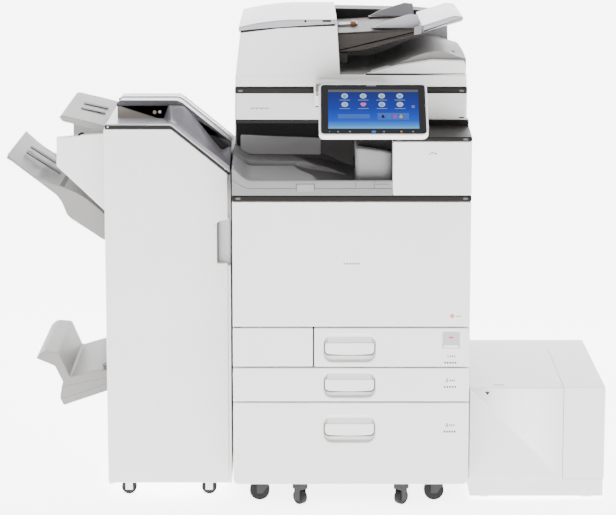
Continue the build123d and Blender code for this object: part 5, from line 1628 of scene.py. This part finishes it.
# ---------------------------------------------------------------- side and rear covers
# Plain white panels with rounded edges; slotted vents, screw heads and a connector plate at the
# back.  The jam door on the right carries the folded bypass tray and a recessed grip.
for node in ("left_cover", "right_cover"):
    softened(node, 0.8, warm_white, "main_body")
softened("rear_cover", 0.5, warm_white, "main_body")
(x0, y0, z0), (x1, y1, z1) = corners("rear_cover")
vent_dark = moulded("vent_dark", (0.03, 0.03, 0.03), 0.7)
vents = []
vent_blocks = ((x0 + 60, z0 + 470, 14), (x0 + 60, z0 + 260, 10), (x1 - 170, z0 + 520, 12))
for column, row, count in vent_blocks:
    for i in range(count):
        vents.append(pill(column, column + 110, row + 9 * i, row + 9 * i + 4, -y1 + 0.2, 0.25))
vents = [(verts * (1, -1, 1), faces) for verts, faces in vents]
finished("rear_vents", vents, vent_dark, "main_body")
screws = []
for x in (x0 + 14, x1 - 14):
    for z in (z0 + 20, z0 + 350, z0 + 395, z0 + 700):
        verts, faces = rod((-y1 - 0.1, -y1 + 0.8), (x, z), 9, "y", 0.6)
        screws.append((verts * (1, -1, 1), faces))
finished("rear_screws", screws, lift_steel, "main_body")
ports = [
    cuboid(x0 + 30, x0 + 58, -y1 - 0.1, -y1 + 0.6, z0 + 180 + 34 * i, z0 + 200 + 34 * i, 1)
    for i in range(3)
]
ports = [(verts * (1, -1, 1), faces) for verts, faces in ports]
finished("rear_connectors", ports, bay_black, "main_body")
softened("right_door", 1.0, warm_white, "right_door")
bypass_white = moulded("bypass_tray_white", (0.72, 0.715, 0.70), 0.42)
softened("bypass_tray", 1.0, bypass_white, "bypass_tray")
(x0, y0, z0), (x1, y1, z1) = corners("bypass_tray")
lift_lines = [
    cuboid(x1 - 0.4, x1 + 0.1, y, y + 2, z0 + 20, z1 - 14, 0.1)
    for y in np.linspace(y0 + 60, y1 - 60, 4)
]
finished("bypass_tray_ribs", lift_lines, exit_grey, "bypass_tray")

# ---------------------------------------------------------------- engine
# What shows when the front door is open: the inner cover, toner bottles with grips, and the
# units behind them; black-painted sheet-metal frame round all of it.
frame_steel = moulded("black_painted_sheet", (0.025, 0.025, 0.026), 0.5, 260.0, 0.06)
repaint("main_frame", frame_steel)
inner_grey = moulded("inner_cover_grey", (0.44, 0.44, 0.45), 0.5)
softened("inner_front_cover", 0.6, inner_grey, "main_body")
repaint("drum_cartridges", bay_black)
repaint("transfer_unit", bay_black)
repaint("fuser_unit", shade_grey)
bottle_colours = {
    1: ("yellow", (0.80, 0.60, 0.03)),
    2: ("magenta", (0.62, 0.03, 0.22)),
    3: ("cyan", (0.02, 0.30, 0.62)),
    4: ("black", (0.02, 0.02, 0.02)),
}
for number, (shade, colour) in bottle_colours.items():
    paint = moulded(f"toner_{shade}_plastic", colour, 0.35)
    bottle = softened(f"toner_bottle_{number}", 0.6, paint, f"toner_bottle_{number}")
(x0, y0, z0), (x1, y1, z1) = corners("inner_front_cover")
labels = []
for number in bottle_colours:
    low, high = corners(f"toner_bottle_{number}")
    middle = (low[0] + high[0]) / 2
    labels.append(pill(middle - 20, middle + 20, low[2] - 16, low[2] - 8, y0, 0.4))
finished("inner_cover_labels", labels, print_grey, "main_body")

# ---------------------------------------------------------------- casters
# Black twin-cheek forks with black rubber-tyred wheels, under the base pan and the finisher.
tyre_black = moulded("tyre_black_rubber", (0.012, 0.012, 0.012), 0.62, 700.0, 0.2)
fork_steel = moulded("caster_fork_steel", (0.03, 0.03, 0.03), 0.4, 400.0, 0.1)
for corner in ("front_left", "front_right", "rear_left", "rear_right"):
    fork = softened(f"caster_fork_{corner}", 0.5, fork_steel, f"caster_{corner}")
    wheel = softened(f"caster_wheel_{corner}", 0.8, tyre_black, f"wheel_{corner}")
for side in ("left", "right"):
    wheel = softened(f"outrigger_wheel_{side}", 0.6, tyre_black, f"outrigger_{side}")
    pair = softened(f"finisher_wheels_{side}", 0.6, tyre_black, f"finisher_wheels_{side}")

# ---------------------------------------------------------------- finisher cabinet and door
# A tall white cabinet left of the machine.  Its door follows the sloping top and has a finger
# notch in its right edge; white fences at the left guide the stack.
fin_low, fin_high = corners("finisher_door")
fin_wide, fin_deep = 312, 613
fin_x0, fin_x1 = fin_low[0], fin_low[0] + fin_wide
fin_front, fin_back = fin_low[1], fin_low[1] + fin_deep
fin_z0, fin_top = fin_low[2], fin_high[2] + 1
knee_across, foot_drop = 167, 117
knee_x = fin_x0 + knee_across
foot_z = fin_top - foot_drop
slope_rate = (foot_z - fin_top) / (fin_x1 - knee_x)
door_inset, notch_wide = 6.6, 27
door_x1 = fin_x1 - door_inset
door_foot = fin_top + slope_rate * (door_x1 - knee_x) - 1.2
notch_low, notch_high = 609.0, 717.0
notch_x = door_x1 - notch_wide
door_outline = outline(
    [
        (fin_x0 + 0.5, fin_z0),
        (door_x1, fin_z0),
        (door_x1, notch_low),
        (notch_x, notch_low),
        (notch_x, notch_high - 4),
        (door_x1, notch_high + 3),
        (door_x1, door_foot),
        (knee_x, fin_top - 1.2),
        (fin_x0 + 0.5, fin_top - 1.2),
    ],
    [4, 3, 3, 3, 8, 3, 3, 12, 3],
)
door_piece = block(door_outline, fin_front, fin_front + 22, 2.0, "y", 4)
finished(
    "finisher_door_panel",
    [door_piece],
    warm_white,
    "finisher_door",
    "finisher_door",
)
notch_pale = moulded("notch_pale_grey", (0.45, 0.445, 0.44), 0.5)
notch_back = cuboid(
    notch_x - 2,
    door_x1 + 5,
    fin_front + 15,
    fin_front + 20,
    notch_low - 4,
    notch_high + 6,
    2,
)
# A dark grey side wall at the notch's left edge: painted shadow line inside the notch.
notch_shadow = cuboid(
    notch_x + 0.3,
    notch_x + 4.5,
    fin_front + 2.5,
    fin_front + 17,
    notch_low + 3,
    notch_high - 9,
    1,
)
finished("finisher_notch_back", [notch_back], notch_pale, "finisher_door")
finished("finisher_notch_painted_shadow", [notch_shadow], shade_grey, "finisher_door")
dot = [pill(notch_x - 6, notch_x - 3.4, notch_high - 14, notch_high - 11, fin_front)]
finished("finisher_door_dot", dot, exit_grey, "finisher_door")

cabinet = softened("finisher_cabinet", 0.8, warm_white, "finisher")
fence_reach, fence_drop, fence_thick, fence_inset, fence_pitch = 119, 28, 24, 38, 462
fence_x, fence_top = fin_x0 - fence_reach, fin_top - fence_drop
fence_outline = outline(
    [
        (fence_x - 0.5, fin_top - 96),
        (fence_x, fence_top),
        (fin_x0 - 63, fence_top + 4),
        (fin_x0 - 58, fence_top + 8),
        (fin_x0, fence_top + 11),
        (fin_x0, fin_top - 212),
        (fin_x0 - 36, fin_top - 174),
        (fence_x + 16, fin_top - 108),
    ],
    [14, 5, 4, 4, 3, 3, 12, 14],
    6,
)
fences = []
for y in (fin_front + fence_inset, fin_front + fence_inset + fence_pitch):
    fences.append(block(fence_outline, y - 0.4, y + fence_thick + 0.4, 2.2, "y", 4))
finished("finisher_fences", fences, warm_white, "finisher")
knob = [rod((fin_front + 46, fin_front + 62), (fin_x0 - 58, fin_top - 26), 19, "y", 3.0)]
finished("fence_knob", knob, bay_black, "finisher")

# Dark glossy band that runs under the deck's edge and down the slope, with small pale marks at its
# ends
rise = 12.0
band_black = moulded("band_black_gloss", (0.012, 0.011, 0.010), 0.35)
band_points = [
    (fin_x0 + 4, fin_top - 0.6),
    (knee_x, fin_top - 0.6),
    (fin_x1 - 1.4, fin_top + slope_rate * (fin_x1 - 1.4 - knee_x) - 0.6),
    (fin_x1 - 1.4, fin_top + slope_rate * (fin_x1 - 1.4 - knee_x) + rise - 3),
    (knee_x + 1, fin_top + rise - 3),
    (fin_x0 + 4, fin_top + rise - 3),
]
band_outline = outline(band_points, [1.2, 22, 1.2, 1.2, 26, 1.2], 6)
finished(
    "finisher_dark_band",
    [block(band_outline, fin_front + 1.0, fin_back - 1, 0.8)],
    band_black,
    "finisher",
)

# ---------------------------------------------------------------- finisher top
# The silver deck, its raised box with a taupe front at the back, and the wide ramp down to the
# machine: a lit front rim, a raised rear rim whose side is a black face of painted shadow, and a
# hollow foot.
deck_outline = outline(
    [
        (fin_x0 + 5, fin_top + rise - 3.2),
        (knee_x - 2, fin_top + rise - 3.2),
        (knee_x - 2, fin_top + rise),
        (fin_x0 + 9, fin_top + rise),
    ],
    0.8,
)
deck_piece = block(deck_outline, fin_front, fin_back, 1.2)
finished("finisher_deck", [deck_piece], silver, "finisher", "finisher_top")
hood_setback, hood_deep, hood_tail = 106, 78, 290
box_y = fin_front + hood_setback
box_back = box_y + hood_deep
box_x0, box_x1 = fin_x0 + 26, knee_x - 1
box_rise = 43.0
box_top = fin_top + rise + box_rise
tail_back = box_back + hood_tail
slope_x0, slope_x1 = knee_x + 1, fin_x1 - 1
steep = math.hypot(1, slope_rate)


def above(height, x):
    """The height of a line that runs level and then down the slope, square to both."""
    turn_x = knee_x + height * (steep - 1) / -slope_rate
    return fin_top + rise + height + slope_rate * (x - turn_x)


taupe = moulded("taupe_plastic", (0.24, 0.22, 0.195), 0.5)
box_ring = rectangle(box_x0 + 2, box_x1, fin_top + rise - 3, box_top - 6, 3)
finished(
    "finisher_rear_box",
    [block(box_ring, box_y + 1.5, box_back - 2, 0.6)],
    taupe,
    "finisher",
)
# A black strip just under the lid's front edge: painted shadow of the lid.
lid_shadow_ring = rectangle(box_x0, box_x1, box_top - 13, box_top - 8, 1.2)
finished(
    "rear_box_lid_shadow",
    [block(lid_shadow_ring, box_y + 0.5, box_back - 2, 1.0)],
    bay_black,
    "finisher",
)
knee_shift = box_rise * (steep - 1) / -slope_rate
lid_points = [
    (box_x0 - 1, box_top - 9),
    (knee_x + 2, box_top - 9),
    (knee_x + knee_shift - 2, box_top - 9),
    (slope_x1, above(box_rise - 8, slope_x1)),
    (slope_x1, above(box_rise, slope_x1)),
    (knee_x + knee_shift, box_top),
    (box_x0 + 10, box_top),
]
rear_lid = outline(lid_points, [2, 2, 20, 2.5, 2.5, 34, 8], 6)
finished(
    "finisher_rear_rim",
    [block(rear_lid, box_y, box_back, 1.8)],
    silver,
    "finisher",
)
tail_ring = outline(
    [
        (box_back - 1, fin_top + rise - 1),
        (box_back - 1, box_top - 1),
        (tail_back, fin_top + rise + 1),
        (tail_back, fin_top + rise - 1),
    ],
    [0.5, 3, 0.5, 0.5],
)
finished(
    "finisher_deck_tail",
    [block(tail_ring, box_x0, knee_x - 1, 0.5, "x")],
    silver,
    "finisher",
)
low_points = [
    (slope_x0, fin_top + rise - 1),
    (slope_x1, foot_z + rise - 1),
    (slope_x1, above(13, slope_x1)),
    (knee_x + 4, fin_top + rise + 13),
    (slope_x0, fin_top + rise + 13),
]
finished(
    "finisher_rear_slope",
    [block(outline(low_points, 0.8), box_back - 3, tail_back, 0.6)],
    silver,
    "finisher",
)
# A black face along the side of the raised rear rim: painted shadow under the rim.
rim_shadow_points = [
    (knee_x + 4, fin_top + rise + 8),
    (slope_x1 - 0.5, foot_z + rise + 2),
    (slope_x1 - 0.5, above(box_rise - 7, slope_x1)),
    (knee_x + knee_shift, box_top - 8),
    (knee_x + 4, box_top - 8),
]
finished(
    "finisher_rim_painted_shadow",
    [block(outline(rim_shadow_points, 1.2), box_y + 2, box_back - 2, 0.6)],
    bay_black,
    "finisher",
)
knobs = [rod((box_y - 2.5, box_y + 3), (box_x1 - 32, fin_top + rise + 16), 8, "y", 1.5)]
finished("rear_box_knob", knobs, card_white, "finisher")
amber = moulded("amber_lens", (0.36, 0.25, 0.14), 0.3, coat=0.4)
finished(
    "rear_box_lens",
    [rod((box_y - 1.5, box_y + 3), (box_x1 - 45, fin_top + rise + 15), 10, "y", 1.5)],
    amber,
    "finisher",
)
latch_low = fin_top + rise + 5
finished(
    "rear_box_latch",
    [cuboid(box_x1 - 20, box_x1 - 11, box_y - 2, box_y + 3, latch_low, latch_low + 8, 1)],
    bay_black,
    "finisher",
)

# The ramp: a sheet that climbs from the front rim to the rear rim, most of all at its upper end,
# and rolls up into a pale foot at its lower end
u, v = np.meshgrid(np.linspace(0, 1, 90), np.linspace(0, 1, 70))
ramp_x0 = knee_x - 26
ramp_x = ramp_x0 + 26 * (1 - v) * step_up(v, 0.0, 0.5) + (
    slope_x1 - ramp_x0 - 26 * (1 - v) * step_up(v, 0.0, 0.5)
) * u
ramp_y = fin_front + (box_y + 3 - fin_front) * v
bend = np.clip(ramp_x - knee_x, 0, None)
level_z = fin_top + rise + slope_rate * (np.sqrt(bend**2 + 14**2) - 14)
climb = (box_rise - 9) * step_up(v, 0.15, 1.0) * (
    1 - 0.86 * step_up(ramp_x, knee_x + 25, slope_x1 - 10)
)
along_slope = step_up(ramp_x, knee_x, knee_x + 30)
climb = climb * (1 + 0.3 * along_slope)
foot_roll = 26 * step_up(v, 0.35, 1.0) * step_up(ramp_x, slope_x1 - 26, slope_x1)
dip = (
    3.0 * step_up(v, 0.02, 0.10) * (1 - step_up(v, 0.2, 0.5)) * step_up(ramp_x, knee_x, knee_x + 20)
)
left_fade = step_up(u, 0.0, 0.10)
ramp_z = level_z + (climb + foot_roll) * left_fade - dip
ramp_z = np.maximum(ramp_z, np.where(ramp_x < knee_x + 1, fin_top + rise - 0.8, ramp_z))
ramp_verts, ramp_faces = relief(ramp_x, ramp_y, ramp_z, 0)
rim_start = u.size
rim_x = ramp_verts[rim_start:, 0]
sole_z = np.interp(rim_x, [ramp_x0, knee_x, slope_x1], [fin_top + 8.4, fin_top + 8.4, foot_z + 8.4])
ramp_verts[rim_start:, 2] = sole_z
ramp_silver = moulded("ramp_silver_plastic", (0.17, 0.162, 0.182), 0.34, 1500.0, 0.05, coat=0.2)
finished(
    "finisher_ramp",
    [(ramp_verts, ramp_faces)],
    ramp_silver,
    "finisher",
    "finisher_slope_cover",
)
rim_points = [
    (knee_x - 60, fin_top + rise - 3.4),
    (knee_x - 1, fin_top + rise - 3.4),
    (slope_x1, foot_z + rise - 3.4),
    (slope_x1, foot_z + rise + 1.4),
    (knee_x, fin_top + rise + 1.2),
    (knee_x - 60, fin_top + rise + 0.4),
]
rim_ring = outline(rim_points, [0.8, 20, 0.8, 0.8, 20, 0.8], 6)
finished(
    "finisher_front_rim",
    [block(rim_ring, fin_front - 0.2, fin_front + 6, 0.6)],
    silver,
    "finisher",
)
band_end_marks = [
    pill(fin_x0 + 9, fin_x0 + 13, fin_top + 2, fin_top + 6, fin_front + 1.0, 0.6),
    pill(fin_x1 - 14, fin_x1 - 10, foot_z + 16, foot_z + 20, fin_front + 1.0, 0.6),
]
finished("finisher_band_end_marks", band_end_marks, card_white, "finisher")

# ---------------------------------------------------------------- finisher trays
# Three grey moulded trays: the proof tray at the top, the deep shift tray that moves down as the
# stack grows, and the booklet scoop.  Dark slots show where the sheets slide in.
tray_grey = moulded("finisher_tray_grey", (0.23, 0.225, 0.22), 0.48)
# Near black for the painted shadow on the shift tray floor.
tray_shadow_paint = moulded("finisher_tray_painted_shadow", (0.07, 0.066, 0.066), 0.5)
proof_low, proof_high = corners("proof_tray")
px0, px1 = proof_low[0], fin_x0 + 5
proof_outline = outline(
    [
        (px1 - 1, fin_top + 0.5),
        (fin_x0 + 4, fin_top - 0.5),
        (fin_x0 - 0.6, fin_top - 13.5),
        (px0 + 10, fin_top + 12),
        (px0 + 0.5, fin_top + 24),
        (px0 + 9, fin_top + 26.8),
        (fin_x0 - 36, fin_top + 11),
    ],
    [1.2, 1.2, 1.2, 6, 3, 4, 20],
)
py0, py1 = proof_low[1], proof_high[1]
finished(
    "proof_tray_moulding",
    [block(proof_outline, py0, py1, 0.9, "y", 4)],
    tray_grey,
    "finisher",
    "proof_tray",
)


def strip_on(x_a, z_a, x_b, z_b, y0, y1, thick=0.8):
    """A thin bar lying along the line from a to b, a little proud of it."""
    length = math.hypot(x_b - x_a, z_b - z_a)
    across = np.array([-(z_b - z_a), x_b - x_a]) / length * thick
    a, b = np.array([x_a, z_a]), np.array([x_b, z_b])
    ring = np.array([a - across, b - across, b + across, a + across])
    return block(ring, y0, y1, 0.3, "y", 2)


proof_mid = (py0 + py1) / 2
slots = [
    strip_on(px0 + 40, fin_top + 21.7, fin_x0 - 12, fin_top + 8.3, y, y + 26)
    for y in (proof_mid - 60, proof_mid + 34)
]
finished("proof_tray_slots", slots, shade_grey, "finisher")

shift_low, shift_high = corners("shift_tray")
sx0, sx1 = shift_low[0], shift_high[0]
sy0, sy1 = shift_low[1], shift_high[1]
u = np.linspace(0, 1, 40)
top_x = sx1 + (sx0 + 4 - sx1) * u
top_z = fin_top - 229 + 155 * (u + 0.08 * np.sin(2 * np.pi * u))
shift_ring = np.concatenate(
    [
        np.stack([top_x, top_z], axis=1),
        outline(
            [(sx0 + 6, fin_top - 75), (sx0 + 0.5, fin_top - 82), (sx0 + 20, fin_top - 96)],
            [2, 3, 2],
            3,
        )[3:-3],
        [
            (sx1 - 124, fin_top - 176),
            (sx1 - 112, fin_top - 192),
            (sx1 - 98, fin_top - 226),
            (sx1 - 88, fin_top - 236),
        ],
        [(sx1 - 8, fin_top - 289.5), (sx1, fin_top - 289.5)],
    ]
)
wall_shapes = [block(shift_ring, y, y + 14, 1.2, "y", 3) for y in (sy0, sy1 - 14)]
inner_ring = shift_ring.copy()
raised_part = inner_ring[:, 1] > np.interp(
    inner_ring[:, 0],
    [sx0, sx1 - 120, sx1],
    [fin_top - 90, fin_top - 160, fin_top - 260],
)
sink_depth = 9 * step_up(sx1 - inner_ring[:, 0], -10, 40) * (
    1 - step_up(sx1 - inner_ring[:, 0], 120, 200)
)
inner_ring[:, 1] -= np.where(raised_part, sink_depth, 0)
floor_block = block(inner_ring, sy0 + 13, sy1 - 13, 0.5)
finished("shift_tray_walls", wall_shapes, tray_grey, "shift_tray", "shift_tray")
finished("shift_tray_floor", [floor_block], tray_grey, "shift_tray")
shift_mid = (sy0 + sy1) / 2
shift_slots = []
for y in (shift_mid - 60, shift_mid + 34):
    shift_slots.append(
        strip_on(sx1 - 214, fin_top - 229 + 137, sx1 - 128, fin_top - 229 + 81, y, y + 24, 1.6)
    )
finished("shift_tray_slots", shift_slots, shade_grey, "shift_tray")
# A dark strip across the tray floor: painted shadow.
shadow_pad_strip = [
    strip_on(sx1 - 120, fin_top - 229 + 70, sx1 - 6, fin_top - 229 - 2, sy0 + 14, sy1 - 14, 0.8)
]
finished("shift_tray_shadow_pad", shadow_pad_strip, tray_shadow_paint, "shift_tray")

book_low, book_high = corners("booklet_tray")
bx = book_high[0]
bz = book_low[2]
by0, by1 = book_low[1], book_high[1]
scoop = outline(
    [
        (bx, bz + 41),
        (bx, bz + 92),
        (bx - 40, bz + 92),
        (bx - 100, bz + 74),
        (bx - 128, bz + 139),
        (bx - 168, bz + 142),
        (bx - 186, bz + 124),
        (bx - 138, bz + 104),
        (bx - 118, bz + 62),
        (bx - 122, bz + 48),
        (bx - 126, bz + 20),
        (bx - 117, bz + 1),
    ],
    [2, 2, 30, 6, 10, 22, 3, 14, 5, 3, 8, 4],
    6,
)
finished(
    "booklet_tray_moulding",
    [block(scoop, by0, by1, 1.5, "y", 4)],
    tray_grey,
    "finisher",
    "booklet_tray",
)
flap = outline([(bx - 1, bz + 106), (bx - 1, bz + 118), (bx - 20, bz + 100), (bx - 14, bz + 96)], 2)
finished(
    "booklet_flap",
    [block(flap, by0 + 20, by1 - 20, 1.5)],
    exit_grey,
    "finisher",
)
grooves = [
    strip_on(bx - 112, bz + 52, bx - 4, bz + 74, by0 - 0.15, by0 + 0.6, 0.5),
    strip_on(bx - 122, bz + 18, bx - 4, bz + 58, by0 - 0.15, by0 + 0.6, 0.5),
]
finished("booklet_grooves", grooves, shade_grey, "finisher")

# ---------------------------------------------------------------- side paper bin
# A white bin for large stacks: a body with a base trim, and a lid whose seam runs over the top
# and down the front.  A printed arrow and a slanted lamp slot mark the left of its top edge.
bin_low, bin_high = corners("lct_cabinet")
dock_stud = 5.7
bin_x0, bin_front, bin_top = bin_low[0] + dock_stud, bin_low[1], bin_high[2]
softened("lct_cabinet", 0.8, warm_white, "paper_bin")
softened("lct_cover", 0.8, warm_white, "bin_lid")
softened("lct_lift_plate", 0.5, lift_steel, "bin_lift_plate")
key_y = bin_front
arrow = [
    pill(bin_x0 + 38, bin_x0 + 49, bin_top - 15, bin_top - 11, key_y),
    pill(bin_x0 + 41, bin_x0 + 46, bin_top - 19, bin_top - 14, key_y),
]
finished("paper_bin_arrow", arrow, print_grey, "paper_bin")
top_marks = [
    strip_on(
        bin_x0 + 60,
        bin_top + 0.1,
        bin_x0 + 88,
        bin_top + 0.1,
        bin_front + 24,
        bin_front + 29,
        0.25,
    )
]
finished("paper_bin_key", top_marks, print_grey, "paper_bin")
